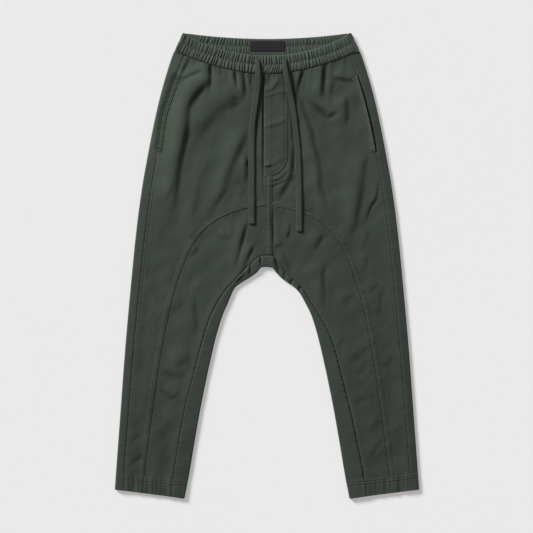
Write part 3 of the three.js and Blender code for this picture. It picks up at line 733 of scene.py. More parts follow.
def inner_fold(side, at):
    """The back panel's folded inner edge, from the inner leg seam down to the table."""
    sign = SIDES[side]
    edge = inner_edge(side, at)
    seam = moved_towards(inner_seam(side, at), edge, half_gap(at))
    run = inner_edge(side, np.minimum(at + 0.3, LAST)) - inner_edge(side, np.maximum(at - 0.3, 0))
    normal = unit(np.column_stack([run[:, 1], -run[:, 0]]))
    normal[at == 0] = (0, -1)
    normal[at == LAST] = HEM_NORMAL

    def lift(x, y, from_seam):
        pucker = puckers(at, **INNER_PUCKERS[side]) * bell(from_seam, INNER_PUCKER_REACH)
        creased = sum(fold_height(sign * x, y, *fold) for fold in CROTCH_FOLDS)
        return hem_step(at) + hem_puckers(x, at) + pucker + 0.6 * dapples(sign * x, y) + creased

    roll = INNER_ROLL[side] * ramp(1.0, 3.0, at)
    sunk = mix(*INNER_SUNK[side], ramp(*INNER_KNEE, at)) * seam_calm(at)
    return folded_edge(edge, seam, normal, FOLD_RADIUS, CLOTH, lift, roll, sunk, INNER_REACH)


def shell(name, outer, inner, material, sign=1, wear_and_painted_light=None, weld=False):
    """A closed thin shell over rows of outer points and the inner points behind them.
    Where one row is longer than the next, its extra points end in a free edge."""
    lengths = [len(row) for row in outer]
    starts = np.concatenate([[0], np.cumsum(lengths)])
    quads = []
    for r in range(len(outer) - 1):
        columns = np.arange(min(lengths[r], lengths[r + 1]) - 1)
        a, b = starts[r] + columns, starts[r + 1] + columns
        quads.append(np.stack([a, b, b + 1, a + 1], axis=1))
    quads = np.vstack(quads)
    points = np.vstack([*outer, *inner]) * (sign, 1, 1)
    count = starts[-1]
    sides = np.vstack([quads[:, [i, (i + 1) % 4]] for i in range(4)])
    key = np.sort(sides, axis=1) @ (count, 1)
    found, uses = np.unique(key, return_counts=True)
    rim = sides[np.isin(key, found[uses == 1])]
    rims = np.stack([rim[:, 1], rim[:, 0], rim[:, 0] + count, rim[:, 1] + count], axis=1)
    faces = np.vstack([quads, quads[:, ::-1] + count, rims])
    corners = points[faces]
    volume = sum(np.einsum("ij,ij->", corners[:, 0], np.cross(corners[:, i], corners[:, i + 1]))
                 for i in (1, 2))
    if volume < 0:
        faces = faces[:, ::-1]
    shares = None if wear_and_painted_light is None else np.concatenate([*wear_and_painted_light, *wear_and_painted_light])
    piece = new_piece(name, points, faces, material, shares)
    if weld:
        form = bmesh.new()
        form.from_mesh(piece.data)
        bmesh.ops.remove_doubles(form, verts=form.verts, dist=1e-6)
        form.to_mesh(piece.data)
        form.free()
    return piece


# Creases pressed into the underside: two ends, width and height of each soft ridge
BACK_CREASES = np.array([
    (0.09, 0.40, 0.13, 0.20, 0.009, 0.0011), (0.17, 0.36, 0.20, 0.10, 0.011, 0.0010),
    (0.05, 0.22, 0.14, 0.09, 0.012, 0.0013), (0.10, 0.03, 0.17, -0.05, 0.010, 0.0012),
    (0.20, -0.02, 0.17, -0.12, 0.009, 0.0009), (0.15, -0.17, 0.24, -0.21, 0.012, 0.0012),
    (0.19, -0.30, 0.25, -0.33, 0.011, 0.0008), (0.24, 0.06, 0.26, -0.05, 0.010, 0.0007),
])


def back_height(x, y):
    """Height of the underside's creases over the table."""
    height = np.zeros_like(x)
    for x0, y0, x1, y1, width, rise in BACK_CREASES:
        distance, t = to_segment(x, y, x0, y0, x1, y1)
        height += rise * bell(distance, width) * (0.35 + 0.65 * np.sin(math.pi * t))
    return height


FLOOR_COLUMNS = 44


def floor_rows(start, end, sag):
    """Points on the table from one line of points to another, with a curved row where it sags."""
    t = np.linspace(0, 1, FLOOR_COLUMNS + 1)[1:-1][None, :, None]
    flat = start[:, None, :2] * (1 - t) + end[:, None, :2] * t
    flat[:, :, 1] += sag[:, None] * (4 * t * (1 - t))[:, :, 0]
    edges = ramp(0, 0.15, t[:, :, 0]) * ramp(0, 0.15, 1 - t[:, :, 0])
    height = back_height(flat[:, :, 0], flat[:, :, 1]) * edges
    return np.dstack([flat, height]), np.dstack([flat, height + CLOTH])


def back_panel(side):
    crotch = 1 + GUSSET_SPLIT
    corner = inner_fold(side, np.array([crotch]))[0][0, -1]
    waist = np.concatenate([
        np.linspace(-1, 0, WAIST_ROWS, endpoint=False), np.linspace(0, 0.96, CROTCH_ROWS)])
    fold_out, fold_in = outer_fold(side, waist)
    down = (waist + 1) / 2
    past = np.maximum(0, (down - GUSSET_ROWS) / (1 - GUSSET_ROWS))
    above = mix(back_band_bottom(0) - SEAM, GUSSET_TIP, down / GUSSET_ROWS)
    x = mix(LAY / 2, corner[0], past)
    y = np.where(past > 0, mix(GUSSET_TIP, corner[1], past), above)
    centre = np.column_stack([x, y, np.zeros_like(x)])
    sag = -BACK_BAND["rise"] / 4 * np.maximum(-waist, 0) ** 3
    floor_out, floor_in = floor_rows(fold_out[:, -1], centre, sag)
    rise = np.array((0, 0, CLOTH))
    outer = [*np.concatenate([fold_out, floor_out, centre[:, None]], axis=1)]
    inner = [*np.concatenate([fold_in, floor_in, centre[:, None] + rise], axis=1)]
    leg = leg_stations(crotch)
    side_out, side_in = outer_fold(side, leg)
    in_out, in_in = (rows[:, ::-1] for rows in inner_fold(side, leg))
    floor_out, floor_in = floor_rows(side_out[:, -1], in_out[:, 0], np.zeros(len(leg)))
    outer += [*np.concatenate([side_out, floor_out, in_out], axis=1)]
    inner += [*np.concatenate([side_in, floor_in, in_in], axis=1)]
    sign = SIDES[side]
    # painted shade in the dents of the hem's rows of stitching
    tones = [*np.zeros_like(waist), *(-HEM_ROW_SHADE * hem_rows(leg))]
    wear_and_painted_light = []
    for row, tone in zip(outer, tones):
        # the back's own tone, painted shade at the hem's rows and the painted light and shade at the
        # place
        shown = BACK_WEAR + tone + painted_light_and_shade(sign * row[:, 0], row[:, 1])
        wear_and_painted_light.append(np.where(row[:, 2] > BACK_TONED_FROM, shown, 0.0))
    piece = shell(f"back_cloth_{side}", outer, inner, cloth_twill, sign, wear_and_painted_light)
    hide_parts(f"back_{side}")


for side in SIDES:
    back_panel(side)


# Crotch gusset
# A small wedge of the same twill between the two back panels, turned up over the crotch edge.
# Its top edge shows on the front as a short upright rectangle.
GUSSET_STATIONS = 25
GUSSET_PUCKER = {"height": 0.0001, "turns": 16}    # radians a station


def crotch_gusset():
    edge = 1 - GUSSET_SPLIT
    tip = np.array((0, GUSSET_TIP - GUSSET_SHORT, 0))
    outer, inner = [], []
    for at in np.linspace(edge, -edge, GUSSET_STATIONS):
        sign = -1 if at < 0 else 1
        side = "right" if at < 0 else "left"
        fold_out, fold_in = inner_fold(side, np.array([abs(at)]))
        pucker = GUSSET_PUCKER["height"] * math.sin(at * GUSSET_PUCKER["turns"])
        fold_out[0, :, 2] += pucker * (fold_out[0, :, 2] > FOLD_RADIUS)
        outer.append(np.vstack([fold_out[0] * (sign, 1, 1), tip]))
        inner.append(np.vstack([fold_in[0] * (sign, 1, 1), tip + (0, 0, CLOTH)]))
    piece = shell("gusset_cloth", outer, inner, cloth_twill, weld=True)
    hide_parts("crotch_gusset")


crotch_gusset()


# Saddles
# The two curved panels over the low crotch, from the arched seam to the inner leg seam.
# Twill pulled a little short by its seams, so soft folds run out from the crotch.
REST_Z = 0.0048               # height of the calm front cloth
FRONT_CLOTH = 0.0011
RIDGE_LIMIT = 0.0062
TROUGH_LIMIT = 0.0023
LEG_FOLDS = 0.55              # how strong the folds on the legs are, beside those on the hips
LEG_TOP = (-0.06, 0.05)
SEAM_RISE = 0.0010            # the front climbs to meet the folded edges
SEAM_FLATTENS = 0.75          # share of the relief that this climb takes away
SEAM_REACH = {"left": (0.014, 0.014), "right": (0.014, 0.034)}    # on the leg, on the hip
HIP = (0.12, 0.22)
CROTCH_FLAT = {"from": 0.020, "to": 0.045, "top": 0.060}    # no climb under the centre strip
SADDLE_EDGE = (0, 0.0004, 0.001, 0.0018, 0.003, 0.005)    # columns beside each seam
SADDLE_COLUMNS = 34           # and between them
SADDLE_SEAMS = {
    "left": {"arch_seed": 32, "inner_seed": 42, "inner_depth": 0.0016, "inner_rise": -0.0002},
    "right": {"arch_seed": 30, "inner_seed": 40, "inner_depth": 0.0007, "inner_rise": 0.0004},
}
ARCH_PUCKERS = {"height": 0.00022, "waves": (0.011, 0.018, 0.029)}
ARCH_PUCKER_REACH = 0.007
INNER_SEAM_PUCKERS = {"height": 0.00018, "waves": (0.008, 0.013)}
INNER_SEAM_PUCKER_REACH = 0.008
INNER_RISE_REACH = 0.010
INNER_DEPTH_REACH = 0.0014
INNER_PALE = {"by": 0.05, "reach": 0.004}
ARCH_SUNK = {"by": 0.0005, "reach": 0.0009}
# painted shade in the arch seam's gap
ARCH_SHADE = {"by": 0.16, "reach": 0.0012}
# cloth worn paler with height, and painted shade darker the lower it lies
HEIGHT_WEAR_AND_SHADE = {"by_height": 95, "darkest": -0.24, "palest": 0.3}

# Folds pressed and creased into the front: depth and width of the trough, height and reach of
# the ridge on its lit side, then the line of the trough, from the top down or right to left.
FOLDS = [
    # right hip
    (0.0022, 0.0060, 0.0056, 0.0165, [
        (-0.122, 0.404), (-0.134, 0.386), (-0.150, 0.367), (-0.160, 0.352), (-0.166, 0.334),
        (-0.168, 0.313), (-0.169, 0.293), (-0.172, 0.272), (-0.178, 0.247), (-0.184, 0.220),
        (-0.187, 0.195), (-0.189, 0.170), (-0.192, 0.148), (-0.199, 0.112), (-0.202, 0.100)]),
    (0.0022, 0.0085, 0.0014, 0.0130, [
        (-0.110, 0.404), (-0.126, 0.389), (-0.141, 0.372), (-0.152, 0.352), (-0.156, 0.330)]),
    (0.0026, 0.0040, 0.0030, 0.0075, [
        (-0.121, 0.450), (-0.121, 0.425), (-0.121, 0.395), (-0.124, 0.366)]),
    (0.0020, 0.0030, 0.0020, 0.0060, [
        (-0.134, 0.419), (-0.148, 0.414), (-0.166, 0.406), (-0.178, 0.399), (-0.190, 0.386)]),
    (0.0030, 0.0032, 0.0020, 0.0060, [
        (-0.158, 0.460), (-0.166, 0.442), (-0.176, 0.424), (-0.186, 0.396)]),
    (0.0026, 0.0028, 0.0018, 0.0050, [(-0.070, 0.426), (-0.067, 0.402), (-0.062, 0.378)]),
    (0.0018, 0.0022, 0.0010, 0.0040, [(-0.034, 0.420), (-0.034, 0.400), (-0.034, 0.382)]),
    (0.0024, 0.0035, 0.0024, 0.0070, [
        (-0.052, 0.424), (-0.048, 0.398), (-0.047, 0.375), (-0.049, 0.352)]),
    (0.0009, 0.0150, 0.0034, 0.0270, [
        (-0.046, 0.368), (-0.064, 0.356), (-0.087, 0.341), (-0.102, 0.328), (-0.114, 0.314),
        (-0.126, 0.298), (-0.144, 0.270), (-0.156, 0.250)]),
    (0.0010, 0.0050, 0.0008, 0.0090, [(-0.062, 0.352), (-0.067, 0.342), (-0.074, 0.330)]),
    (0.0005, 0.0050, 0.0009, 0.0100, [(-0.090, 0.408), (-0.094, 0.385), (-0.099, 0.360)]),
    (0.0009, 0.0065, 0.0024, 0.0125, [
        (-0.038, 0.300), (-0.050, 0.263), (-0.060, 0.240), (-0.068, 0.221), (-0.077, 0.200),
        (-0.083, 0.182), (-0.087, 0.164), (-0.097, 0.146), (-0.108, 0.129), (-0.116, 0.114),
        (-0.128, 0.090)]),
    (0.0004, 0.0070, 0.0008, 0.0120, [
        (-0.114, 0.234), (-0.126, 0.208), (-0.136, 0.188), (-0.143, 0.168), (-0.146, 0.143),
        (-0.153, 0.110), (-0.157, 0.075)]),
    (0.0008, 0.0025, 0.0008, 0.0050, [(-0.194, 0.190), (-0.203, 0.165), (-0.215, 0.136)]),
    (0.0030, 0.0028, 0.0012, 0.0050, [(-0.0412, 0.240), (-0.0418, 0.205), (-0.0440, 0.170)]),
    (0.0006, 0.0050, 0.0008, 0.0080, [(-0.044, 0.170), (-0.050, 0.154), (-0.054, 0.138)]),
    # ditch beside the fly
    (0.0022, 0.0016, 0.0012, 0.0040, [
        (-0.0078, 0.500), (-0.0078, 0.400), (-0.0078, 0.280), (-0.0078, 0.140)]),
    # left hip
    (0.0030, 0.0052, 0.0038, 0.0090, [
        (0.126, 0.446), (0.124, 0.420), (0.1225, 0.395), (0.121, 0.372), (0.123, 0.350)]),
    (0.0026, 0.0030, 0.0020, 0.0055, [(0.079, 0.428), (0.074, 0.405), (0.069, 0.386), (0.068, 0.362)]),
    (0.0019, 0.0052, 0.0022, 0.0100, [(0.190, 0.392), (0.175, 0.395), (0.160, 0.397), (0.136, 0.404)]),
    (0.0006, 0.0040, 0.0007, 0.0070, [(0.147, 0.396), (0.142, 0.380), (0.139, 0.362)]),
    (0.0024, 0.0062, 0.0020, 0.0080, [
        (0.156, 0.334), (0.146, 0.325), (0.133, 0.319), (0.118, 0.331), (0.104, 0.343), (0.088, 0.356)]),
    (0.0015, 0.0045, 0.0020, 0.0085, [(0.170, 0.372), (0.1735, 0.348), (0.1745, 0.322), (0.172, 0.294)]),
    (0.0013, 0.0046, 0.0019, 0.0105, [
        (0.069, 0.372), (0.078, 0.343), (0.086, 0.320), (0.095, 0.298), (0.101, 0.275),
        (0.105, 0.253), (0.113, 0.228), (0.116, 0.203), (0.117, 0.180), (0.120, 0.158),
        (0.127, 0.140), (0.130, 0.120), (0.136, 0.090)]),
    (0.0013, 0.0070, 0.0023, 0.0140, [
        (0.221, 0.246), (0.213, 0.210), (0.209, 0.185), (0.206, 0.158), (0.200, 0.128),
        (0.194, 0.095), (0.187, 0.072), (0.178, 0.040)]),
    (0.0018, 0.0026, 0.0012, 0.0055, [
        (0.241, 0.194), (0.240, 0.165), (0.236, 0.143), (0.226, 0.128), (0.218, 0.108), (0.213, 0.084)]),
    (0.0003, 0.0045, 0.0005, 0.0080, [(0.222, 0.080), (0.215, 0.055), (0.207, 0.028)]),
    (0.0026, 0.0032, 0.0014, 0.0060, [(0.049, 0.362), (0.054, 0.325), (0.057, 0.298), (0.058, 0.256)]),
    (0.0030, 0.0034, 0.0013, 0.0060, [
        (0.060, 0.266), (0.0575, 0.232), (0.056, 0.205), (0.050, 0.188), (0.038, 0.170)]),
    (0.0020, 0.0060, 0.0014, 0.0090, [(0.066, 0.200), (0.046, 0.172), (0.035, 0.154), (0.030, 0.134)]),
    (0.0016, 0.0026, 0.0012, 0.0038, [(0.049, 0.206), (0.029, 0.1853), (0.002, 0.177)]),
    (0.0014, 0.0026, 0.0010, 0.0038, [(0.042, 0.185), (0.029, 0.1769), (0.004, 0.167)]),
    (0.0005, 0.0050, 0.0007, 0.0080, [(0.104, 0.119), (0.092, 0.117), (0.078, 0.119)]),
    # saddle
    (0.0014, 0.0042, 0.0020, 0.0085, [
        (-0.036, 0.104), (-0.046, 0.074), (-0.052, 0.050), (-0.058, 0.028), (-0.064, 0.004),
        (-0.073, -0.018)]),
    (0.0023, 0.0042, 0.0026, 0.0075, [
        (-0.024, 0.048), (-0.033, 0.029), (-0.040, 0.012), (-0.046, -0.004), (-0.053, -0.020),
        (-0.061, -0.038)]),
    (0.0007, 0.0080, 0.0009, 0.0110, [(-0.072, 0.055), (-0.088, 0.057), (-0.110, 0.063)]),
    (0.0018, 0.0040, 0.0000, 0.0060, [
        (0.0125, 0.126), (0.0125, 0.095), (0.0140, 0.070), (0.0145, 0.052), (0.0170, 0.034)]),
    (0.0012, 0.0045, 0.0006, 0.0060, [(0.037, 0.041), (0.024, 0.040), (0.013, 0.039)]),
    (0.0009, 0.0030, 0.0011, 0.0055, [(0.049, 0.092), (0.050, 0.073), (0.042, 0.054)]),
    (0.0014, 0.0060, 0.0012, 0.0085, [(0.034, 0.034), (0.044, 0.008), (0.050, -0.010), (0.052, -0.030)]),
    (0.0010, 0.0060, 0.0013, 0.0095, [(0.124, 0.068), (0.115, 0.050), (0.104, 0.030)]),
    (0.0016, 0.0060, 0.0021, 0.0105, [
        (0.136, 0.012), (0.124, -0.014), (0.123, -0.036), (0.125, -0.062), (0.122, -0.104)]),
    # right leg
    (0.0008, 0.0060, 0.0011, 0.0110, [(-0.138, 0.040), (-0.152, 0.028), (-0.166, 0.012)]),
    (0.0011, 0.0065, 0.0016, 0.0115, [
        (-0.150, -0.056), (-0.153, -0.080), (-0.151, -0.105), (-0.149, -0.130), (-0.148, -0.160)]),
    (0.0006, 0.0070, 0.0010, 0.0110, [(-0.156, -0.022), (-0.164, -0.036), (-0.172, -0.056)]),
    (0.0008, 0.0060, 0.0010, 0.0100, [
        (-0.226, -0.136), (-0.236, -0.112), (-0.248, -0.098), (-0.264, -0.086)]),
    (0.0007, 0.0060, 0.0010, 0.0100, [(-0.168, -0.078), (-0.184, -0.088), (-0.206, -0.100)]),
    (0.0016, 0.0095, 0.0024, 0.0145, [
        (-0.156, -0.196), (-0.170, -0.205), (-0.184, -0.213), (-0.200, -0.224)]),
    (0.0025, 0.0075, 0.0030, 0.0115, [
        (-0.188, -0.250), (-0.202, -0.239), (-0.214, -0.232), (-0.230, -0.226)]),
    (0.0025, 0.0050, 0.0027, 0.0085, [
        (-0.194, -0.290), (-0.208, -0.283), (-0.218, -0.273), (-0.230, -0.262)]),
    (0.0009, 0.0060, 0.0010, 0.0090, [(-0.174, -0.291), (-0.184, -0.296), (-0.200, -0.296)]),
    (0.0006, 0.0100, 0.0010, 0.0140, [
        (-0.190, -0.368), (-0.206, -0.350), (-0.226, -0.334), (-0.244, -0.318)]),
    (0.0011, 0.0050, 0.0016, 0.0095, [
        (-0.260, -0.404), (-0.272, -0.414), (-0.286, -0.424), (-0.304, -0.437)]),
    (0.0006, 0.0070, 0.0009, 0.0100, [(-0.206, -0.388), (-0.218, -0.398), (-0.230, -0.414)]),
    (0.0007, 0.0060, 0.0009, 0.0090, [(-0.266, -0.362), (-0.280, -0.370), (-0.294, -0.384)]),
    # left leg
    (0.0011, 0.0090, 0.0016, 0.0140, [
        (0.222, -0.172), (0.206, -0.188), (0.192, -0.202), (0.174, -0.220)]),
    (0.0007, 0.0080, 0.0011, 0.0120, [(0.192, -0.064), (0.176, -0.072), (0.158, -0.084)]),
    (0.0008, 0.0055, 0.0012, 0.0100, [
        (0.250, -0.054), (0.245, -0.075), (0.244, -0.092), (0.238, -0.112)]),
    (0.0008, 0.0050, 0.0010, 0.0085, [(0.244, -0.036), (0.230, -0.050), (0.214, -0.064)]),
    (0.0005, 0.0055, 0.0007, 0.0090, [(0.217, 0.024), (0.214, 0.000), (0.211, -0.022)]),
    (0.0006, 0.0060, 0.0009, 0.0100, [(0.234, -0.068), (0.226, -0.084), (0.216, -0.100)]),
    (0.0007, 0.0080, 0.0011, 0.0120, [(0.276, -0.192), (0.264, -0.208), (0.252, -0.226)]),
    (0.0008, 0.0070, 0.0011, 0.0110, [(0.222, -0.206), (0.208, -0.224), (0.194, -0.244)]),
    (0.0010, 0.0075, 0.0013, 0.0120, [
        (0.236, -0.282), (0.214, -0.288), (0.196, -0.294), (0.174, -0.306)]),
    (0.0008, 0.0080, 0.0012, 0.0120, [(0.246, -0.328), (0.234, -0.348), (0.222, -0.366)]),
    (0.0010, 0.0055, 0.0012, 0.0100, [
        (0.252, -0.372), (0.238, -0.390), (0.228, -0.404), (0.216, -0.420)]),
    (0.0006, 0.0070, 0.0009, 0.0100, [(0.300, -0.346), (0.286, -0.354), (0.268, -0.366)]),
    (0.0006, 0.0050, 0.0008, 0.0080, [(0.170, -0.156), (0.158, -0.170), (0.148, -0.186)]),
]


def from_side_seams(x, y, side):
    """Distance of a front point from the seams at the garment's folded edges."""
    strip = (STRIP_WAIST + STRIP_HEM) / 2
    nearest = along(OUTLINE, 1, np.maximum(y, OUTLINE[0, 0])) - strip + side_pull(side, y) - np.abs(x)
    rows = INNER[side][1:, 3:]
    for (x0, y0), (x1, y1) in zip(rows, rows[1:]):
        nearest = np.minimum(nearest, to_segment(np.abs(x), y, x0, y0, x1, y1)[0])
    return np.maximum(nearest, 0)


FINE_GATHERS = {"height": 0.00045, "waves": (0.0066, 0.0081, 0.0104), "seed": 11}
COARSE_GATHERS = {"height": 0.0005, "waves": (0.015, 0.023, 0.034), "seed": 12}
GATHER_LENGTHS = {"fine": 0.009, "coarse": 0.035, "rise": 0.007}
GATHER_RISE = 0.0009
GATHER_SLANT = 0.05


def gathers_below_band(x, y):
    """Small folds that run down out of the gathered waistband and die out."""
    below = np.maximum(front_band_bottom(x) - y, 0)
    fine = puckers(x, **FINE_GATHERS) * np.exp(-below / GATHER_LENGTHS["fine"])
    slanted = x + GATHER_SLANT * below
    coarse = puckers(slanted, **COARSE_GATHERS) * np.exp(-below / GATHER_LENGTHS["coarse"])
    return fine + coarse + GATHER_RISE * bell(below, GATHER_LENGTHS["rise"])


def front_height(x, y, side, tone=None):
    """Height of the front cloth's outer face above the table, with the light and shade painted into its
    tone.
    """
    relief = np.zeros_like(x)
    for fold in FOLDS:
        relief += fold_height(x, y, *fold, tone)
    soft = mix(LEG_FOLDS, 1, ramp(*LEG_TOP, y))
    # the tone carries painted light and shade from the folds and the painted patches
    if tone is not None:
        tone *= soft
        tone += painted_light_and_shade(x, y)
    relief = soft * relief + dapples(x, y) + gathers_below_band(x, y)
    limit = np.where(relief > 0, RIDGE_LIMIT, TROUGH_LIMIT)
    centre = ramp(CROTCH_FLAT["from"], CROTCH_FLAT["to"], np.abs(x))
    centre = np.where(y > CROTCH_FLAT["top"], 1, centre)
    reach = mix(*SEAM_REACH[side], ramp(*HIP, y))
    rise = bell(from_side_seams(x, y, side), reach) * centre
    return REST_Z + limit * np.tanh(relief / limit) * (1 - SEAM_FLATTENS * rise) + SEAM_RISE * rise


def worn_and_shaded(z):
    """Cloth worn paler on its ridges, with painted shade darker in its troughs."""
    return np.clip((z - REST_Z) * HEIGHT_WEAR_AND_SHADE["by_height"], HEIGHT_WEAR_AND_SHADE["darkest"], HEIGHT_WEAR_AND_SHADE["palest"])


def column_shares(width, first, last, between):
    """Shares of each row's width: fine steps at both seams and even ones between them."""
    low = np.array(first)[None, :] / width[:, None]
    high = 1 - np.array(last)[::-1][None, :] / width[:, None]
    t = np.linspace(0, 1, between + 2)[1:-1][None, :]
    middle = low[:, -1:] * (1 - t) + high[:, :1] * t
    return np.concatenate([low, middle, high], axis=1)


def saddle_surface(side, at, shares):
    """Points of the saddle at stations and at shares of the way to the inner leg seam, with its worn tone
    and painted light and shade.
    """
    sign = SIDES[side]
    seams = SADDLE_SEAMS[side]
    arch, seam = saddle_seam(at), inner_seam(side, at)
    start, end = moved_towards(arch, seam, half_gap(at)), moved_towards(seam, arch, half_gap(at))
    width = np.linalg.norm(end - start, axis=1)
    flat = start[:, None] + (end - start)[:, None] * shares[:, :, None]
    x, y = np.maximum(flat[:, :, 0], LAY / 2), flat[:, :, 1]
    # washed gathers worn paleness and painted light and shade from folds, places and height
    washed = np.zeros_like(x)
    z = front_height(sign * x, y, side, washed)
    washed += worn_and_shaded(z)
    z += hem_step(at)[:, None] + hem_puckers(x, at[:, None])
    run = passed(start)[:, None]
    from_arch, from_inner = shares * width[:, None], (1 - shares) * width[:, None]
    arch_puckers = puckers(run, **ARCH_PUCKERS, seed=seams["arch_seed"])
    inner_puckers = puckers(run, **INNER_SEAM_PUCKERS, seed=seams["inner_seed"])
    z += arch_puckers * bell(from_arch, ARCH_PUCKER_REACH)
    z += inner_puckers * bell(from_inner, INNER_SEAM_PUCKER_REACH)
    z += seams["inner_rise"] * bell(from_inner, INNER_RISE_REACH)
    calm = seam_calm(at)[:, None]
    z -= calm * ARCH_SUNK["by"] * bell(from_arch, ARCH_SUNK["reach"])
    z -= calm * seams["inner_depth"] * bell(from_inner, INNER_DEPTH_REACH)
    wear_and_painted_light = washed + INNER_PALE["by"] * bell(from_inner, INNER_PALE["reach"])
    # painted shade in the dents of the hem's rows of stitching
    wear_and_painted_light -= HEM_ROW_SHADE * hem_rows(at)[:, None]
    # painted shade in the arch seam
    wear_and_painted_light -= calm * ARCH_SHADE["by"] * bell(from_arch, ARCH_SHADE["reach"])
    return np.dstack([x, y, z]), wear_and_painted_light


def saddle_panel(side):
    sign = SIDES[side]
    at = leg_stations(0)
    width = np.linalg.norm(saddle_seam(at) - inner_seam(side, at), axis=1) - SEAM
    shares = column_shares(width, SADDLE_EDGE, SADDLE_EDGE, SADDLE_COLUMNS)
    outer, wear_and_painted_light = saddle_surface(side, at, shares)
    inner = outer - (0, 0, FRONT_CLOTH)
    piece = shell(f"saddle_cloth_{side}", outer, inner, cloth_twill, sign, wear_and_painted_light)
    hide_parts(f"saddle_{side}")
    across = np.tile(np.linspace(0.01, 0.99, 24), (2, 1))
    rows = saddle_surface(side, np.array(HEM_ROWS), across)[0] * (sign, 1, 1)
    stitches = sew(f"saddle_hem_stitches_{side}", rows)


for side in SIDES:
    saddle_panel(side)


# Outer fronts
# From the waistband to the hem: joined on the centre front, sewn to the saddle in an arch.
# The arch seam is felled: a raised strip outside it with two rows of stitching.
FELL_WIDTH = 0.010
FELL_RAISE = 0.0005
FELL_FROM = {"left": 0.009, "right": 0.0}    # the centre strip covers its start on the left
FELL_START = 0.003            # it rises to its full height over this much
FELL_INNER_EDGE = (0, 0.0007)
FELL_OUTER_EDGE = (FELL_WIDTH - 0.0004, FELL_WIDTH + 0.0008)
FELL_ROWS = (0.0018, 0.0082)
FELL_ROW_DEPTH = 0.00035
ROW_WIDTH = 0.0006            # of the dent that a row of stitching makes
FELL_PUCKERS = {"strip": 0.00012, "beside": 0.00010, "reach": 0.006}
# the felled strip worn paler, with painted shade in the dents of its two rows; more of both at the crown
FELL_WEAR_AND_SHADE = {"strip": 0.05, "rows": 0.14, "crown_strip": 0.09, "crown_rows": 0.10}
FELL_SEEDS = {"left": 52, "right": 50}
CROWN_ROWS_FROM = {"left": 0.35, "right": 0.05}    # stations where the rows of stitching start
CROWN = (0.9, 1.5)            # stations between which the seam's crown turns into its sides
CROWN_REACH = (-0.1, 1.6)     # stations whose places are measured from the crown itself
ABOVE_CROWN = -0.052          # the rows of points are closer together below this station
FRONT_ROWS = {"waist": 104, "above_crown": 22}
FRONT_SIDE_SUNK = {"by": 0.0004, "reach": 0.0009}
# painted shade in the side seam, and a painted highlight on the cloth rising beside it
FRONT_SIDE_SHADE = {"by": 0.14, "reach": 0.0007}
FRONT_SIDE_HIGHLIGHT = {"by": 0.06, "at": 0.002, "reach": 0.003}
FRONT_ARCH_SUNK = {"by": 0.0003, "reach": 0.0008}
# painted shade in the arch seam
FRONT_ARCH_SHADE = {"by": 0.15, "reach": 0.0007}
FRONT_SIDE_PUCKERS = {"height": 0.00014, "waves": SIDE_PUCKERS["waves"],
                      "seed": SIDE_PUCKERS["seed"]}
FRONT_SIDE_PUCKER_REACH = 0.007
FRONT_FIRST = (0, 0.0005, 0.0011, 0.0018, 0.0025, 0.0036, 0.005, 0.0065, 0.0075, 0.0082, 0.0089,
               0.0096, 0.0101, 0.0107, 0.012)
FRONT_LAST = (0, 0.0005, 0.0012, 0.0022, 0.0035, 0.0048, 0.0056, 0.0064, 0.0074, 0.0086, 0.0105)
FRONT_COLUMNS = 50
# A line pressed into the cloth beside the side seam, from below the pocket to the knee, with painted
# shade along it
PRESSED_LINE = {"from_seam": 0.0060, "width": 0.0012, "high": (0.20, 0.14), "low": (-0.17, -0.09),
                "depth": {"left": 0.0002, "right": 0.0004}, "wear_and_painted_light": 650}
# The front's edge lies lower below the pocket
FRONT_SUNK_LOW = {"left": 0, "right": 0.0002, "reach": 0.010}


def from_crown(x, y):
    """Distance of a place on the front from the crown of the arched seam."""
    nearest = np.ones_like(x)
    rows = saddle_seam(np.linspace(0, 3, 40))
    rows = np.vstack([rows[0] - (0.01, 0), rows])
    for (x0, y0), (x1, y1) in zip(rows, rows[1:]):
        nearest = np.minimum(nearest, to_segment(x, y, x0, y0, x1, y1)[0])
    return nearest


def front_ends(side, at):
    """Where each row of the front starts, on the centre or the saddle, and ends, at the side."""
    seam = side_seam(side, at)
    crown = LEG[0, 2] + SEAM / 2
    middle = mix(FRONT_BAND["bottom"] - SEAM, crown, at + 1)
    centre = np.column_stack([np.full_like(at, LAY / 2), middle])
    arch = moved_towards(saddle_seam(np.maximum(at, 0)), seam, half_gap(at))
    start = np.where((at <= 0)[:, None], centre, arch)
    return start, moved_towards(seam, start, half_gap(at))


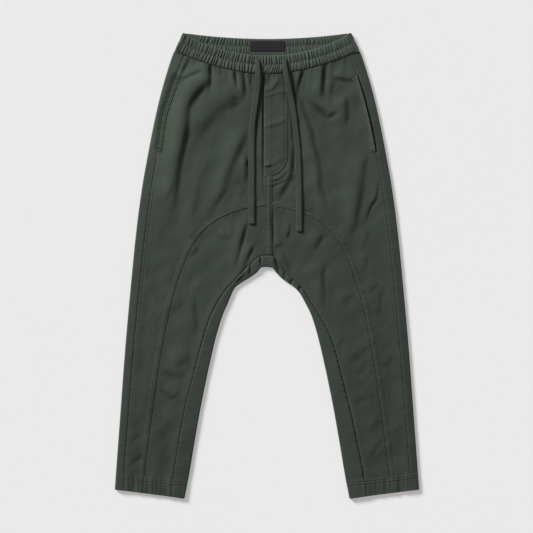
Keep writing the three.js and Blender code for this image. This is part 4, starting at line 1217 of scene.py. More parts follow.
def front_surface(side, at, shares):
    """Points of the outer front at stations and at shares of the way to the side seam, with its worn tone
    and painted light and shade.
    """
    sign = SIDES[side]
    start, end = front_ends(side, at)
    width = np.linalg.norm(end - start, axis=1)
    flat = start[:, None] + (end - start)[:, None] * shares[:, :, None]
    x, y = flat[:, :, 0], flat[:, :, 1]
    top, bottom = (ends[0] for ends in front_ends(side, np.array([-1.0])))
    above = front_band_bottom(mix(top[0], bottom[0], shares)) - SEAM
    y = y + np.where(at < 0, at * at, 0)[:, None] * (above - mix(top[1], bottom[1], shares))
    # washed gathers worn paleness and painted light and shade from folds, places and height
    washed = np.zeros_like(x)
    z = front_height(sign * x, y, side, washed)
    washed += worn_and_shaded(z)
    z += hem_step(at)[:, None] + hem_puckers(x, at[:, None])
    from_arch, from_side = shares * width[:, None], (1 - shares) * width[:, None]
    near = (at > CROWN_REACH[0]) & (at < CROWN_REACH[1])
    crown = from_arch.copy()
    crown[near] = from_crown(x[near], y[near])
    crown[at <= CROWN_REACH[0]] = 1.0
    past_crown = ramp(*CROWN, at)[:, None]
    from_arch = mix(crown, from_arch, past_crown)
    felled = ramp(0, FELL_START, x - FELL_FROM[side])
    strip = ramp(*FELL_INNER_EDGE, from_arch) * (1 - ramp(*FELL_OUTER_EDGE, from_arch))
    rows = sum(bell(from_arch - row, ROW_WIDTH) for row in FELL_ROWS)
    pucker = uneven(passed(start)[:, None], (0.011, 0.018, 0.029), FELL_SEEDS[side])
    z += felled * strip * (FELL_RAISE - FELL_ROW_DEPTH * rows + FELL_PUCKERS["strip"] * pucker)
    beside = bell(from_arch - FELL_WIDTH, FELL_PUCKERS["reach"])
    z += felled * FELL_PUCKERS["beside"] * pucker * beside
    z += puckers(y, **FRONT_SIDE_PUCKERS) * bell(from_side, FRONT_SIDE_PUCKER_REACH)
    pressed = bell(from_side - PRESSED_LINE["from_seam"], PRESSED_LINE["width"])
    pressed *= ramp(*PRESSED_LINE["high"], y) * ramp(*PRESSED_LINE["low"], y)
    pressed *= PRESSED_LINE["depth"][side]
    z -= pressed
    low_edge = bell(from_side, FRONT_SUNK_LOW["reach"])
    z -= FRONT_SUNK_LOW[side] * ramp(*BELOW_POCKET, y) * low_edge
    calm = seam_calm(at)[:, None]
    z -= calm * FRONT_SIDE_SUNK["by"] * bell(from_side, FRONT_SIDE_SUNK["reach"])
    z -= calm * FRONT_ARCH_SUNK["by"] * bell(from_arch, FRONT_ARCH_SUNK["reach"])
    at_crown = 1 - past_crown
    strip_tone = FELL_WEAR_AND_SHADE["strip"] + FELL_WEAR_AND_SHADE["crown_strip"] * at_crown
    rows_shade = FELL_WEAR_AND_SHADE["rows"] + FELL_WEAR_AND_SHADE["crown_rows"] * at_crown
    # the felled strip worn paler, and painted shade in its rows
    wear_and_painted_light = washed + felled * (strip_tone * strip - rows_shade * rows)
    # painted shade in the dents of the hem's rows of stitching
    wear_and_painted_light -= HEM_ROW_SHADE * hem_rows(at)[:, None]
    # painted shade in the arch seam
    wear_and_painted_light -= calm * FRONT_ARCH_SHADE["by"] * bell(from_arch, FRONT_ARCH_SHADE["reach"]) * felled
    # painted highlight beside the side seam
    wear_and_painted_light += FRONT_SIDE_HIGHLIGHT["by"] * bell(from_side - FRONT_SIDE_HIGHLIGHT["at"], FRONT_SIDE_HIGHLIGHT["reach"])
    # painted shade in the side seam
    wear_and_painted_light -= calm * FRONT_SIDE_SHADE["by"] * bell(from_side, FRONT_SIDE_SHADE["reach"])
    # painted shade along the pressed line
    wear_and_painted_light -= PRESSED_LINE["wear_and_painted_light"] * pressed
    return np.dstack([x, y, z]), wear_and_painted_light


def front_panel(side):
    sign = SIDES[side]
    waist = np.linspace(-1, ABOVE_CROWN, FRONT_ROWS["waist"], endpoint=False)
    above_crown = np.linspace(ABOVE_CROWN, 0, FRONT_ROWS["above_crown"], endpoint=False)
    at = np.concatenate([waist, above_crown, leg_stations(0)])
    start, end = front_ends(side, at)
    width = np.linalg.norm(end - start, axis=1)
    shares = column_shares(width, FRONT_FIRST, FRONT_LAST, FRONT_COLUMNS)
    outer, wear_and_painted_light = front_surface(side, at, shares)
    inner = outer - (0, 0, FRONT_CLOTH)
    piece = shell(f"front_cloth_{side}", outer, inner, cloth_twill, sign, wear_and_painted_light)
    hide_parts(f"front_{side}")
    rows = []
    seam_at = stations(1.0, LAST, 0.0015, saddle_seam)
    seam_width = np.linalg.norm(np.subtract(*front_ends(side, seam_at)), axis=1)
    for row in FELL_ROWS:
        points, _ = front_surface(side, seam_at, (row / seam_width)[:, None])
        rows.append(points[:, 0] * (sign, 1, 1) + (0, 0, 0.00005))
    crown = saddle_seam(np.linspace(CROWN_ROWS_FROM[side], 1.05, 14))
    slope = unit(np.gradient(crown, axis=0))
    for row in FELL_ROWS:
        x, y = (crown + row * np.column_stack([-slope[:, 1], slope[:, 0]])).T
        z = front_height(sign * x, y, side) + FELL_RAISE - FELL_ROW_DEPTH
        rows.append(np.column_stack([sign * x, y, z]))
    across = np.tile(np.linspace(0.02, 0.98, 20), (2, 1))
    rows += [*(front_surface(side, np.array(HEM_ROWS), across)[0] * (sign, 1, 1))]
    stitches = sew(f"saddle_seam_stitches_{side}", rows)


for side in SIDES:
    front_panel(side)


# Pocket edges
# The opening of each side pocket: its edge is folded in, pressed and topstitched.
# A bar tack closes each end beside the side seam.
TRIM = 0.0009
ROW_DEPTH = 0.0006            # how deep a row of stitching sinks into a folded strip
POCKET_COLUMNS = np.array((POCKET["width"], 0.0100, 0.0092, 0.0084, 0.0076, 0.006, 0.0045, 0.003,
                           0.0018, 0.0008, 0.0))    # from the side seam
POCKET_ROW = 3                # the column of the row of stitching
POCKET_ROWS = 66
# paler tone of each pocket's hem; on the wearer's right most of it is painted light lifting the hem out
# of its shade
POCKET_PAINTED_LIGHT = {"left": 0.06, "right": 0.40}
POCKET_PUCKERS = {"height": 0.00022, "waves": (0.0065, 0.0095, 0.014), "seed": 13}
POCKET_ROLL = {"height": 0.0012, "reach": 0.0012}    # the opening's folded edge is thick and round
POCKET_GAPE_REACH = 0.004
# painted shade in the dent of its row of stitching, and a painted highlight on its rounded folded edge
POCKET_ROW_SHADE = 0.10
POCKET_EDGE_HIGHLIGHT = {"by": 0.10, "at": 0.001, "reach": 0.0015}
EDGE_ROUND = 0.0004           # how far a strip's sewn edge is rounded off
TACK = {"width": 0.0024, "threads": 9, "from_end": 3}    # from_end counts rows of the hem


def pocket_edge(side):
    sign = SIDES[side]
    ends = (SIDE_TOP - np.array((POCKET["top"], POCKET["bottom"]))) / (SIDE_TOP - LEG[0, 3]) - 1
    at = np.linspace(*ends, POCKET_ROWS)
    start, end = front_ends(side, at)
    width = np.linalg.norm(end - start, axis=1)
    across = POCKET_COLUMNS
    points, _ = front_surface(side, at, 1 - across[None, :] / width[:, None])
    row = bell(across - across[POCKET_ROW], ROW_WIDTH)
    length = np.sin(np.linspace(0, math.pi, len(at)))[:, None] ** 0.6
    gape = POCKET_GAPE[side]["lift"] * length * bell(across, POCKET_GAPE_REACH)
    roll = POCKET_ROLL["height"] * bell(across, POCKET_ROLL["reach"])
    points[:, :, 2] += LAY + TRIM - ROW_DEPTH * row + roll + gape
    points[:, :, 2] -= EDGE_ROUND * bell(POCKET["width"] - across, EDGE_ROUND)
    under = points - (0, 0, TRIM)
    # painted light and shade at the place, the hem's painted light, its edge's painted highlight and its
    # row's painted shade
    wear_and_painted_light = painted_light_and_shade(sign * points[:, :, 0], points[:, :, 1]) + POCKET_PAINTED_LIGHT[side]
    wear_and_painted_light += POCKET_EDGE_HIGHLIGHT["by"] * bell(across - POCKET_EDGE_HIGHLIGHT["at"], POCKET_EDGE_HIGHLIGHT["reach"])
    wear_and_painted_light -= POCKET_ROW_SHADE * row
    points[:, :, 2] += puckers(points[:, :, 1], **POCKET_PUCKERS)
    piece = shell(f"pocket_hem_{side}", points, under, cloth_twill, sign, wear_and_painted_light)
    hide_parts(f"pocket_edge_{side}")
    line = points[:, POCKET_ROW] * (sign, 1, 1) + (0, 0, 0.0001)
    tacks = []
    for place in (TACK["from_end"], len(at) - 1 - TACK["from_end"]):
        for step in np.linspace(-TACK["width"] / 2, TACK["width"] / 2, TACK["threads"]):
            tacks.append(points[place, [0, 5, 10]] * (sign, 1, 1) + (0, step, 0.0003))
    stitches = sew(f"pocket_stitches_{side}", [line, *tacks])


for side in SIDES:
    pocket_edge(side)


# Centre strip and fly
# The centre front seam is felled below the fly, with a row of stitching along each edge.
# The mock fly is one layer of twill with a J of double stitching.
CENTRE_STRIP = {"left": 0.0105, "right": -0.002, "top": 0.1915, "bottom": 0.0235,
                "rows": 70}
FLY = {"left": 0.045, "right": -0.0065, "curve_top": 0.236, "bottom": 0.192, "foot": 0.006}
FLY_ROWS = (0.0017, 0.0066)   # rows of the J, from the fly's outer edge
STRIP_ACROSS = (-1, -0.93, -0.84, -0.74, -0.64, -0.4, 0, 0.4, 0.64, 0.74, 0.84, 0.93, 1)
STRIP_ROWS = (3, 9)           # the columns of its two rows of stitching
STRIP_PUCKERS = {"height": 0.00015, "waves": (0.007, 0.012), "seed": 61}
STRIP_WEAR = 0.1
# painted shade in the dents of its rows of stitching
STRIP_ROW_SHADE = 0.2


def front_face(x, y):
    """Height of the fronts and saddles under something laid on both sides of the centre."""
    return np.where(x > 0, front_height(x, y, "left"), front_height(x, y, "right"))


def centre_strip():
    y = np.linspace(CENTRE_STRIP["top"], CENTRE_STRIP["bottom"], CENTRE_STRIP["rows"])
    half = (CENTRE_STRIP["left"] - CENTRE_STRIP["right"]) / 2
    middle = (CENTRE_STRIP["left"] + CENTRE_STRIP["right"]) / 2
    across = half * np.array(STRIP_ACROSS)
    x, y = np.meshgrid(middle + across, y)
    row = bell(np.abs(across) - across[STRIP_ROWS[1]], ROW_WIDTH)
    edge = bell(half - np.abs(across), EDGE_ROUND)
    z = front_face(x, y) + LAY + TRIM - ROW_DEPTH * row - EDGE_ROUND * edge
    z += puckers(y, **STRIP_PUCKERS)
    # worn paler on top, with painted shade in its rows of stitching
    wear_and_painted_light = np.tile(STRIP_WEAR * (1 - edge) - STRIP_ROW_SHADE * row, (len(y), 1))
    outer = np.dstack([x, y, z])
    inner = outer - (0, 0, TRIM)
    piece = shell("centre_strip_cloth", outer, inner, cloth_twill, wear_and_painted_light=wear_and_painted_light)
    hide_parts("centre_strip")
    stitches = sew("centre_strip_stitches", [outer[:, column] for column in STRIP_ROWS])


def fly_outline(y):
    """The fly's outer edge: straight down, then a quarter of an ellipse back to its foot."""
    fall = np.clip((FLY["curve_top"] - y) / (FLY["curve_top"] - FLY["bottom"]), 0, 1)
    return FLY["foot"] + (FLY["left"] - FLY["foot"]) * np.sqrt(1 - fall * fall)


# Creases of the fly alone: height and reach of the ridge over each, then its line, right to left
FLY_CREASES = [
    (0.0016, 0.0045, [
        (0.0310, 0.410), (0.0270, 0.398), (0.0244, 0.392), (0.0125, 0.3775), (-0.0042, 0.3715),
        (-0.020, 0.370)]),
    (0.0010, 0.0030, [
        (0.0550, 0.375), (0.0435, 0.3728), (0.0244, 0.3680), (-0.0042, 0.3607), (-0.020, 0.357)]),
    (0.0014, 0.0040, [
        (0.0460, 0.319), (0.0364, 0.3082), (0.0244, 0.3022), (-0.0019, 0.2951), (-0.019, 0.293)]),
    (0.0012, 0.0040, [
        (0.0420, 0.232), (0.0293, 0.2246), (0.0125, 0.2150), (-0.0029, 0.2126), (-0.018, 0.212)]),
    (0.0006, 0.0030, [(0.0060, 0.3140), (0.0020, 0.3150), (-0.0050, 0.3130)]),
    (0.0016, 0.0020, [(0.0090, 0.2132), (0.0010, 0.2128), (-0.0065, 0.2125)]),
    (0.0006, 0.0025, [(0.0100, 0.4020), (0.0100, 0.3300), (0.0100, 0.2700), (0.0105, 0.2050)]),
]


def fly_creases(x, y):
    height = np.zeros_like(x)
    for ridge, reach, points in FLY_CREASES:
        height += fold_height(x, y, 0.0, reach, ridge, reach, points)
    return height


FLY_FIRST = (0, 0.0005, 0.0012, 0.0022)
FLY_LAST = (0, 0.0004, 0.0009, 0.0013, 0.0017, 0.0022, 0.0028, 0.0040, 0.0052, 0.0059, 0.0066, 0.0073,
            0.0080)
FLY_COLUMNS = 16
FLY_NARROWS = 0.02            # the columns draw together where the fly is narrower than this
FLY_PUCKERS = {"height": 0.0002, "waves": (0.008, 0.014), "seed": 81}
FLY_PUCKER_REACH = 0.006
FLY_BETWEEN_ROWS = 0.004      # from its outer edge to the cloth between the J's two rows
FLY_ROW_WIDTHS = (0.0007, 0.0008)
# painted shade in the dents of the J's two rows of stitching
FLY_ROW_SHADE = (0.25, 0.5)
FLY_BETWEEN_PALE = {"by": 0.12, "reach": 0.002}
FLY_RIGHT_PALE = {"by": 0.10, "reach": 0.003}
FLY_LEFT_ROUND = {"by": 0.0008, "reach": 0.0015}
FLY_RIGHT_ROUND = {"by": 0.0004, "reach": 0.0005}


def fly_placket():
    top = FRONT_BAND["bottom"] - SEAM
    depth = FLY["curve_top"] - FLY["bottom"]
    turn = np.linspace(0, math.pi / 2, 26)
    heights = np.concatenate([
        np.linspace(top, FLY["curve_top"], 70, endpoint=False), FLY["curve_top"] - depth * np.sin(turn)])
    left = fly_outline(heights)
    width = left - FLY["right"]
    narrow = np.minimum(width / FLY_NARROWS, 1)
    shares = column_shares(width / narrow, FLY_FIRST, FLY_LAST, FLY_COLUMNS)
    x = FLY["right"] + shares * width[:, None]
    lift = (front_band_bottom(x) - FRONT_BAND["bottom"]) * ramp(top - 0.02, top, heights)[:, None]
    y = heights[:, None] + lift
    from_left = (1 - shares) * width[:, None]
    from_right = shares * width[:, None]
    reach = FLY["left"] - FLY["foot"]
    round_x = np.maximum(x - FLY["foot"], 0) / reach
    round_y = np.maximum(FLY["curve_top"] - y, 0) / depth
    inset = np.where(round_y > 0, (1 - np.hypot(round_x, round_y)) * reach, FLY["left"] - x)
    outer_row, inner_row = (bell(inset - row, width) for row, width in zip(FLY_ROWS, FLY_ROW_WIDTHS))
    front = front_face(x, y)
    z = front + LAY + TRIM + fly_creases(x, y) - ROW_DEPTH * (outer_row + inner_row)
    from_between = from_left - FLY_BETWEEN_ROWS
    z += puckers(y, **FLY_PUCKERS) * bell(from_between, FLY_PUCKER_REACH)
    z -= FLY_LEFT_ROUND["by"] * bell(from_left, FLY_LEFT_ROUND["reach"])
    z -= FLY_RIGHT_ROUND["by"] * bell(from_right, FLY_RIGHT_ROUND["reach"])
    # worn paleness with painted shade by height, the painted light and shade at the place, and painted
    # shade in the J's rows
    wear_and_painted_light = worn_and_shaded(z - LAY - TRIM) + painted_light_and_shade(x, y)
    wear_and_painted_light += FLY_BETWEEN_PALE["by"] * bell(from_between, FLY_BETWEEN_PALE["reach"])
    wear_and_painted_light += FLY_RIGHT_PALE["by"] * bell(from_right, FLY_RIGHT_PALE["reach"])
    wear_and_painted_light -= FLY_ROW_SHADE[0] * outer_row + FLY_ROW_SHADE[1] * inner_row
    outer = np.dstack([x, y, z])
    inner = np.minimum(outer - (0, 0, TRIM / 2), np.dstack([x, y, front + LAY]))
    piece = shell("fly_cloth", outer, inner, cloth_twill, wear_and_painted_light=wear_and_painted_light)
    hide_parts("fly_placket")
    rows = []
    straight = heights > FLY["curve_top"]
    for row in FLY_ROWS:
        curved = FLY["foot"] + (left - FLY["foot"]) * (1 - row / reach)
        row_x = np.where(straight, left - row, curved)
        fall = (FLY["curve_top"] - heights) * (1 - row / depth)
        row_y = np.where(straight, heights, FLY["curve_top"] - fall)
        rows.append(np.column_stack([row_x, row_y, front_face(row_x, row_y) + LAY + TRIM]))
    stitches = sew("fly_stitches", rows)


centre_strip()
fly_placket()


# Back waistband
# Two layers of twill round wide elastic, gathered by it, with one row of stitching between
# two channels. Its inner face shows above the front band, and both ends fold forward.
BAND_CLOTH = 0.0022
BAND_RADIUS = 0.0039
BAND_WRAP = 0.0084
BAND_NORMAL = (0.929, 0.371)
BAND_SETTLE = 0.93            # outside this share of its length the gathers die out
BAND_END_SEAM = {"roll": 0.0004, "sunk": 0.0008, "reach": 0.0014}
# Its folded ends are drawn in at the rows of stitching, and small folds run round between them
BAND_END_FOLDS = {"pinch": 0.0011, "height": 0.0004, "uneven": 0.0006, "pitch": 0.0052}
BAND_WEAR = 0.37
GATHER_SWAY = 0.0004          # how far each gather shifts the band's two edges
BACK_CHANNEL = {"row": 0.0025, "crown": 0.0009, "row_gather": 0.0003, "crown_gather": 0.0009,
                "edge": 0.0008, "edge_reach": 0.02, "under": 0.0004}
WAVES = 55
WAVE_COLUMNS = 6 * 2 * WAVES
BACK_ROW = 0.6                # share of the band's height at its row of stitching
GATHER_LEAN = 0.022           # how far the gathers lean, as a share of the band's half length
GATHERS_DRIFT = (             # size, how fast it comes and goes, times that the seed shifts it
    (1.3, 0.9, 1), (0.9, 2.3, 2), (1.1, 5.1, 3), (0.9, 8.7, 1), (0.5, 15.7, 2),
)
GATHERS_CALM = {"ends": (0.78, 0.94), "by": 0.45}
# Behind the label the gathers are pressed flatter, and flatter still behind its middle
LABEL_FLATTENS = {"by": 0.75, "upper_less": 0.3, "from": 0.044, "to": 0.039}
LABEL_MIDDLE = {"by": 0.8, "from": 0.0150, "to": 0.0115, "x": -0.0005}


def back_band_top(x):
    return BACK_BAND["top"] + BACK_BAND["top_rise"] * (x / BAND_END["high"][0]) ** 2


def gathers(across, up, seed, middle_lean=0.0):
    """The gathered cloth between two rows of stitching: broad uneven crests, narrow gaps, -1 to 1."""
    place = across * 7
    shift = sum(size * np.sin(place * pace + turn * seed) for size, pace, turn in GATHERS_DRIFT)
    strength = 0.66 + 0.34 * np.sin(place * 3.7 + seed) * np.sin(place * 1.3 + 2 + seed)
    strength = strength * (1 - GATHERS_CALM["by"] * ramp(*GATHERS_CALM["ends"], np.abs(across)))
    lean = GATHER_LEAN * np.sin(place * 0.8 + 1.7 * seed) * (up - 0.5)
    lean = lean - middle_lean * up * bell(across, 0.17)
    crest = np.abs(np.sin((math.pi * WAVES * (across + lean) + shift) / 2)) ** 0.75
    return (2 * crest - 1) * strength


def channel_profile(up, edges):
    """0 at the rows of stitching and 1 at the crown of the channels between them."""
    crown = np.zeros_like(up)
    for low, high in zip(edges, edges[1:]):
        t = np.clip((up - low) / (high - low), 0, 1)
        crown = np.where((up >= low) & (up <= high), np.sin(math.pi * t) ** 0.6, crown)
    return crown


def band_fold(up):
    """The folded end of the back band, at shares of the band's height."""
    edge = mix(np.array(BAND_END["low"])[None], np.array(BAND_END["high"])[None], up[:, None])
    low, high = BAND_END["low"][0] - BAND_WRAP, BAND_END["high"][0] - BAND_WRAP
    seam = np.column_stack([mix(low, high, up) + LAY,
                            mix(front_band_bottom(low), front_band_top(high), up) + LAY / 2])
    normal = np.tile(BAND_NORMAL, (len(up), 1))
    crown = channel_profile(up, (0, BACK_ROW, 1))
    pinch = BAND_END_FOLDS["pinch"] * (1 - crown)[:, None] * normal
    height = (BAND_END_FOLDS["height"] + BAND_END_FOLDS["uneven"] * np.sin(up * 5 + 1)) * crown

    def lift(x, y, from_seam):
        return height * np.cos(from_seam * 2 * math.pi / BAND_END_FOLDS["pitch"] + 0.5)

    return folded_edge(edge - pinch, seam, normal, BAND_RADIUS, BAND_CLOTH, lift, **BAND_END_SEAM)


def back_band():
    up = np.concatenate([[1, 0.985, 0.965], np.linspace(0.94, 0.05, 26), [0.03, 0.015, 0]])
    end_out, end_in = band_fold(up)
    across = np.linspace(1, -1, WAVE_COLUMNS + 1)[None, 1:-1]
    reach = end_out[:, -1, :2]
    x = across * reach[:, :1]
    flat = mix(back_band_bottom(x), back_band_top(x), up[:, None])
    settle = ramp(BAND_SETTLE, 1, np.abs(across))
    y = mix(flat, reach[:, 1:], settle)
    crown = channel_profile(up, (0, BACK_ROW, 1))[:, None]
    upper = (up > BACK_ROW)[:, None]
    wave = np.where(upper, gathers(across, up[:, None], 1.0), gathers(across, up[:, None], 2.6))
    under_label = ramp(LABEL_FLATTENS["from"], LABEL_FLATTENS["to"], np.abs(x))
    calm = 1 - LABEL_FLATTENS["by"] * under_label * (1 - LABEL_FLATTENS["upper_less"] * upper)
    middle = ramp(LABEL_MIDDLE["from"], LABEL_MIDDLE["to"], np.abs(x - LABEL_MIDDLE["x"]))
    calm *= 1 - LABEL_MIDDLE["by"] * middle
    gathered = (BACK_CHANNEL["row_gather"] + BACK_CHANNEL["crown_gather"] * crown) * wave * calm
    edges = bell(1 - up, BACK_CHANNEL["edge_reach"]) + bell(up, BACK_CHANNEL["edge_reach"])
    top = BACK_CHANNEL["row"] + BACK_CHANNEL["crown"] * crown + gathered
    top -= BACK_CHANNEL["edge"] * edges[:, None]
    z_in = BAND_CLOTH + (top - BAND_CLOTH) * (1 - settle)
    y = y + GATHER_SWAY * wave * (up[:, None] - 0.5) * (1 - settle)
    z_out = BACK_CHANNEL["under"] * np.maximum(-wave, 0) * crown * (1 - settle)
    floor_out, floor_in = np.dstack([x, y, z_out]), np.dstack([x, y, z_in])
    mirror = (-1, 1, 1)
    outer = np.concatenate([end_out, floor_out, end_out[:, ::-1] * mirror], axis=1)
    inner = np.concatenate([end_in, floor_in, end_in[:, ::-1] * mirror], axis=1)
    wear_and_painted_light = np.full(outer.shape[:2], BAND_WEAR)
    piece = shell("waistband_back_cloth", outer, inner, cloth_twill, wear_and_painted_light=wear_and_painted_light)
    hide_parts("waistband_back")
    row = np.argmin(np.abs(up - BACK_ROW))
    stitches = sew("waistband_back_stitches", [floor_in[row, 20:-20] + (0, 0, 0.0001)])


back_band()


# Front waistband
# The same strip in front: two gathered elastic channels, stitched between and along the bottom.
# It climbs a little at both ends, where it meets the folded ends of the back band.
BAND_INSIDE = 0.0045
BAND_CLIMB = {"from": 0.86, "under": 0.0011, "over": 0.0009}
FRONT_ROW = 0.5               # shares of the band's height at its two rows of stitching
FRONT_ROW_LOW = 0.035
FRONT_CHANNEL = {"row": 0.0020, "crown": 0.0011, "row_gather": 0.00035, "crown_gather": 0.0011,
                 "top_edge": 0.0011, "top_reach": 0.018, "low_edge": 0.0013, "low_reach": 0.05}
FRONT_GATHERS_LIGHT_AND_SHADE = 0.20        # painted highlight on the crests of its gathers and painted shade in the gaps between them
FRONT_BAND_ROW_SHADE = {"by": 0.2, "reach": 0.03}    # painted shade along its middle row of stitching
BUTTONHOLES = {"left": (0.0366, 0.4425), "right": (-0.0246, 0.4435), "half": (0.0042, 0.0072),
               "stitch": 0.0016, "stitches": 34}


def buttonholes(surface):
    """Two stitched buttonholes: short stitches side by side round an upright slot in the band."""
    rows = []
    for side in SIDES:
        for turn in np.linspace(0, 2 * math.pi, BUTTONHOLES["stitches"], endpoint=False):
            out = np.array((math.cos(turn), math.sin(turn)))
            start = BUTTONHOLES[side] + out * BUTTONHOLES["half"]
            ends = np.array([start, start + out * BUTTONHOLES["stitch"]])
            nearest = np.linalg.norm(surface[:, None, :2] - ends[None], axis=2).argmin(axis=0)
            height = surface[nearest, 2].max() + 0.0001
            rows.append(np.column_stack([ends, [height, height]]))
    return sew("buttonhole_stitches", rows)


def front_band():
    up = np.concatenate([[1, 0.99, 0.975, 0.95], np.linspace(0.92, 0.08, 28), [0.06, 0.035, 0.015, 0]])
    across = np.linspace(-1, 1, WAVE_COLUMNS + 1)[None, :]
    low = across * (BAND_END["low"][0] - BAND_WRAP)
    high = across * (BAND_END["high"][0] - BAND_WRAP)
    share = up[:, None]
    x = mix(low, high, share)
    y = mix(front_band_bottom(low), front_band_top(high), share)
    ends = ramp(BAND_CLIMB["from"], 1, np.abs(across))
    crown = channel_profile(up, (0.0, FRONT_ROW, 1))[:, None]
    wave = np.where(share > FRONT_ROW, gathers(across, share, 4.1), gathers(across, share, 5.3, 0.11))
    gathered = (FRONT_CHANNEL["row_gather"] + FRONT_CHANNEL["crown_gather"] * crown) * wave
    rise = FRONT_CHANNEL["row"] + FRONT_CHANNEL["crown"] * crown + gathered
    rise -= FRONT_CHANNEL["top_edge"] * bell(1 - share, FRONT_CHANNEL["top_reach"])
    rise -= FRONT_CHANNEL["low_edge"] * bell(share, FRONT_CHANNEL["low_reach"])
    z = BAND_INSIDE + rise + BAND_CLIMB["over"] * ends
    y = y + GATHER_SWAY * wave * (share - 0.5)
    under = BAND_INSIDE + BAND_CLIMB["under"] * ends * np.ones_like(share)
    outer, inner = np.dstack([x, y, z]), np.dstack([x, y, under])
    # painted highlight on the gathers' crests, painted shade in their gaps and along the middle row
    wear_and_painted_light = BAND_WEAR + FRONT_GATHERS_LIGHT_AND_SHADE * wave * crown
    wear_and_painted_light = wear_and_painted_light - FRONT_BAND_ROW_SHADE["by"] * bell(share - FRONT_ROW, FRONT_BAND_ROW_SHADE["reach"])
    piece = shell("waistband_front_cloth", outer, inner, cloth_twill, wear_and_painted_light=wear_and_painted_light)
    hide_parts("waistband_front")
    rows = [outer[np.argmin(np.abs(up - place))] + (0, 0, 0.0001)
            for place in (FRONT_ROW, FRONT_ROW_LOW)]
    stitches = sew("waistband_front_stitches", rows)
    buttonholes(outer.reshape(-1, 3))


front_band()


# Label
# A plain woven satin label on the inside of the back band, its ends turned under.
# It is left bare, and a row of small stitches holds each short end.
LABEL = {"left": 0.0375, "right": -0.0365, "bottom": 0.4605, "top": 0.4825}
LABEL_SEAT = 0.0038
LABEL_THICK = 0.0008
LABEL_COLOURS = ((0.0095, 0.0088, 0.0115, 1), (0.0155, 0.0145, 0.0190, 1))
LABEL_RIBS = 9000             # radians a metre
LABEL_PUCKERS = {"height": 0.00007, "waves": (0.021, 0.034), "seed": 71}
LABEL_ROUND = {"by": 0.0003, "reach": 0.0006}    # at its turned edges
LABEL_COLUMNS = 60
LABEL_ROWS = 20


def label_satin(name):
    """Dark woven satin with fine ribs along the label."""
    material, shade, surface = start_material(name)
    place = shade.node("ShaderNodeTexCoord", output="Object")
    upward = place.node("ShaderNodeSeparateXYZ", sockets={0: place}).other("Y")
    ribs = shade.math("SINE", upward * LABEL_RIBS)
    grain = place.noise(900.0)
    tone = (0.5 + ribs * 0.2 + (grain - 0.5) * 0.6).mixed(*LABEL_COLOURS)
    height = ribs * 0.00003 + grain * 0.00006
    bump = shade.node("ShaderNodeBump", sockets={"Strength": 0.6, "Distance": 1.0, "Height": height})
    connect(surface, {
        "Base Color": tone, "Roughness": 0.6, "Specular IOR Level": 0.25, "Normal": bump})
    return material


def waist_label():
    x = np.linspace(LABEL["right"], LABEL["left"], LABEL_COLUMNS)
    y = np.linspace(LABEL["top"], LABEL["bottom"], LABEL_ROWS)
    x, y = np.meshgrid(x, y)
    edge = np.minimum(np.minimum(x - LABEL["right"], LABEL["left"] - x),
                      np.minimum(y - LABEL["bottom"], LABEL["top"] - y))
    z = LABEL_SEAT + LABEL_THICK + puckers(x, **LABEL_PUCKERS)
    z -= LABEL_ROUND["by"] * bell(edge, LABEL_ROUND["reach"])
    outer = np.dstack([x, y, z])
    inner = np.dstack([x, y, np.minimum(z - LABEL_THICK / 2, LABEL_SEAT)])
    piece = shell("label_cloth", outer, inner, label_satin("label_satin"))
    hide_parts("waist_label")
    stitches = sew("label_stitches", [outer[1:-1, 1], outer[1:-1, -2]])


waist_label()


# Drawcord ends
# Two flat ends of self-fabric tape, folded in four and stitched along both edges.
# Each comes out of the band's upper channel and ends in a turned, stitched tip.
CORD_WIDTH = 0.0125
CORD_THICK = 0.0028
CORD_ROUTES = {
    "left": [
        (0.0365, 0.442, 0.0099), (0.0372, 0.434, 0.0112), (0.0383, 0.4245, 0.0126),
        (0.042, 0.403, 0.0128), (0.0473, 0.377, 0.0112), (0.0522, 0.3536, 0.0096),
        (0.057, 0.3278, 0.0084), (0.0613, 0.291, 0.0074), (0.0651, 0.259, 0.0065),
        (0.067, 0.2268, 0.0065), (0.0684, 0.171, 0.0065), (0.0686, 0.15, 0.0067),
        (0.0688, 0.132, 0.0073), (0.069, 0.108, 0.0073), (0.069, 0.09, 0.0066),
        (0.069, 0.073, 0.0065),
    ],
    "right": [
        (-0.0247, 0.443, 0.0099), (-0.0222, 0.437, 0.0110), (-0.0204, 0.431, 0.0120),
        (-0.0194, 0.4095, 0.0126), (-0.0215, 0.377, 0.0106), (-0.0258, 0.345, 0.0092),
        (-0.03, 0.313, 0.0080), (-0.0318, 0.291, 0.0074), (-0.0327, 0.248, 0.0065),
        (-0.0327, 0.184, 0.0065), (-0.0326, 0.155, 0.0066), (-0.0326, 0.138, 0.0073),
        (-0.0327, 0.118, 0.0073), (-0.0327, 0.104, 0.0066), (-0.0327, 0.089, 0.0065),
    ],
}
CORD_RING_SPACING = 0.0015
CORD_EDGE_ROW = 0.0018        # stitching this far from each edge
CORD_TIP = 0.0105             # the turned end
CORD_BED = (-0.006, -0.003, 0, 0.003, 0.006)    # places across it at which the cloth is measured
CORD_BED_TOP = 0.400          # below this the cord lies on the cloth
CORD_SEAT = 0.0003
CORD_EASE = 9                 # rings over which its height is evened out
CORD_SIDE = 17                # points across each of its two sides
CORD_NARROW = {"by": 0.30, "over": 0.03}    # where it comes out of the band
CORD_UNEVEN = ((0.02, 90, 0), (0.015, 210, 1))    # shares of its width, radians a metre, shift
CORD_ROLL = {"by": 0.10, "turns": 38, "over": 0.2, "left": 0, "right": 2}    # radians; shift
CORD_SECTION = {"row_sunk": 0.45, "middle_sunk": 0.25, "middle_reach": 0.35, "tip": 0.3}
CORD_ROW_HEIGHT = 0.72        # share of half its thickness at which its stitches lie
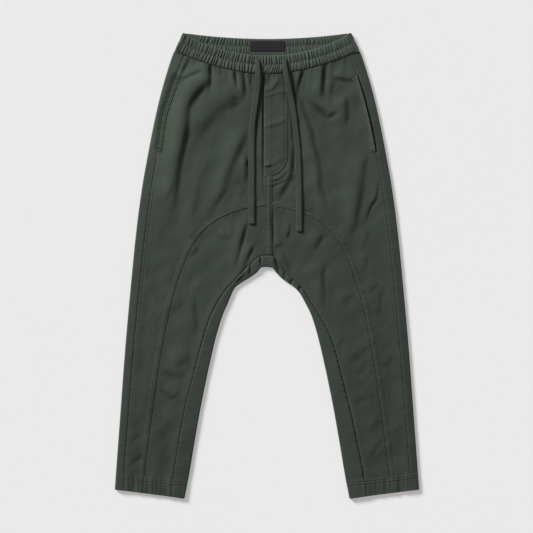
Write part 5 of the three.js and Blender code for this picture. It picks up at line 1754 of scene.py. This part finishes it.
CORD_TIP_ROWS = (0.0015, CORD_TIP - 0.0012)
TAPE_TONE = 1.12              # the tape is this much paler than the cloth

tape_twill = twill("tape_twill", [c * TAPE_TONE for c in CLOTH_COLOUR])


def tape_section(share, tip):
    """Half widths and heights round the tape: thicker stitched edges, thicker again at its tip."""
    across = np.linspace(-1, 1, CORD_SIDE)
    places = np.concatenate([across, across[::-1][1:-1]])
    side = np.where(np.arange(len(places)) < CORD_SIDE, 1.0, -1.0)
    side[[0, CORD_SIDE - 1]] = 0
    half = CORD_WIDTH / 2
    rows = bell(np.abs(places) * half - (half - CORD_EDGE_ROW), ROW_WIDTH)
    body = (1 - np.abs(places) ** 6) ** 0.5
    middle = bell(places, CORD_SECTION["middle_reach"])
    body = body * (1 - CORD_SECTION["row_sunk"] * rows - CORD_SECTION["middle_sunk"] * middle)
    thick = CORD_THICK * (1 + CORD_SECTION["tip"] * tip)
    return places * half * share, side * thick / 2 * body


def drawcord(side):
    route = smooth_line(CORD_ROUTES[side], CORD_RING_SPACING)
    under = np.max([front_face(route[:, 0] + step, route[:, 1]) for step in CORD_BED], axis=0)
    bed = np.where(route[:, 1] < CORD_BED_TOP, under + CORD_SEAT + CORD_THICK / 2, 0)
    lifted = np.maximum(route[:, 2], bed)
    padded = np.pad(lifted, CORD_EASE // 2, mode="edge")
    route[:, 2] = np.maximum(np.convolve(padded, np.ones(CORD_EASE) / CORD_EASE, "valid"), bed)
    ahead = unit(np.gradient(route, axis=0))
    across = unit(np.cross(ahead, (0, 0, 1.0)))
    above = np.cross(across, ahead)
    run = np.arange(len(route)) * CORD_RING_SPACING
    left = run[-1] - run
    share = 1 - CORD_NARROW["by"] * np.exp(-run / CORD_NARROW["over"])
    share += sum(size * np.sin(run * turns + shift) for size, turns, shift in CORD_UNEVEN)
    roll = CORD_ROLL["by"] * np.exp(-run / CORD_ROLL["over"])
    roll *= np.sin(run * CORD_ROLL["turns"] + CORD_ROLL[side])
    tip = np.where(left < CORD_TIP, 1.0, 0.0)
    rings = []
    for i in range(len(route)):
        wide, high = tape_section(share[i], tip[i])
        ease = min(1.0, 0.55 + left[i] / 0.0015) if left[i] < 0.001 else 1.0
        turned = wide * math.sin(roll[i]) * 0.5
        sideways = np.outer(wide * ease, across[i])
        rings.append(route[i] + sideways + np.outer(high * ease + turned, above[i]))
    size = len(rings[0])
    points = np.vstack(rings)
    faces = []
    for r in range(len(rings) - 1):
        a, b = r * size, (r + 1) * size
        faces += [(a + i, a + (i + 1) % size, b + (i + 1) % size, b + i) for i in range(size)]
    faces.append(tuple(range(size))[::-1])
    faces.append(tuple(len(points) - size + i for i in range(size)))
    tape = new_piece(f"drawcord_tape_{side}", points, faces, tape_twill)
    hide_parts(f"drawcord_{side}")
    top = CORD_THICK / 2 * CORD_ROW_HEIGHT
    reach = CORD_WIDTH / 2 - CORD_EDGE_ROW
    rows = [route + across * (reach * s) * share[:, None] + above * top for s in (-1, 1)]
    tips = []
    for back in CORD_TIP_ROWS:
        at = np.argmin(np.abs(left - back))
        spread = np.linspace(-reach, reach, 5)[:, None]
        tips.append(route[at] + across[at] * spread + above[at] * top * 1.5)
    stitches = sew(f"drawcord_stitches_{side}", [*rows, *tips])


for side in SIDES:
    drawcord(side)
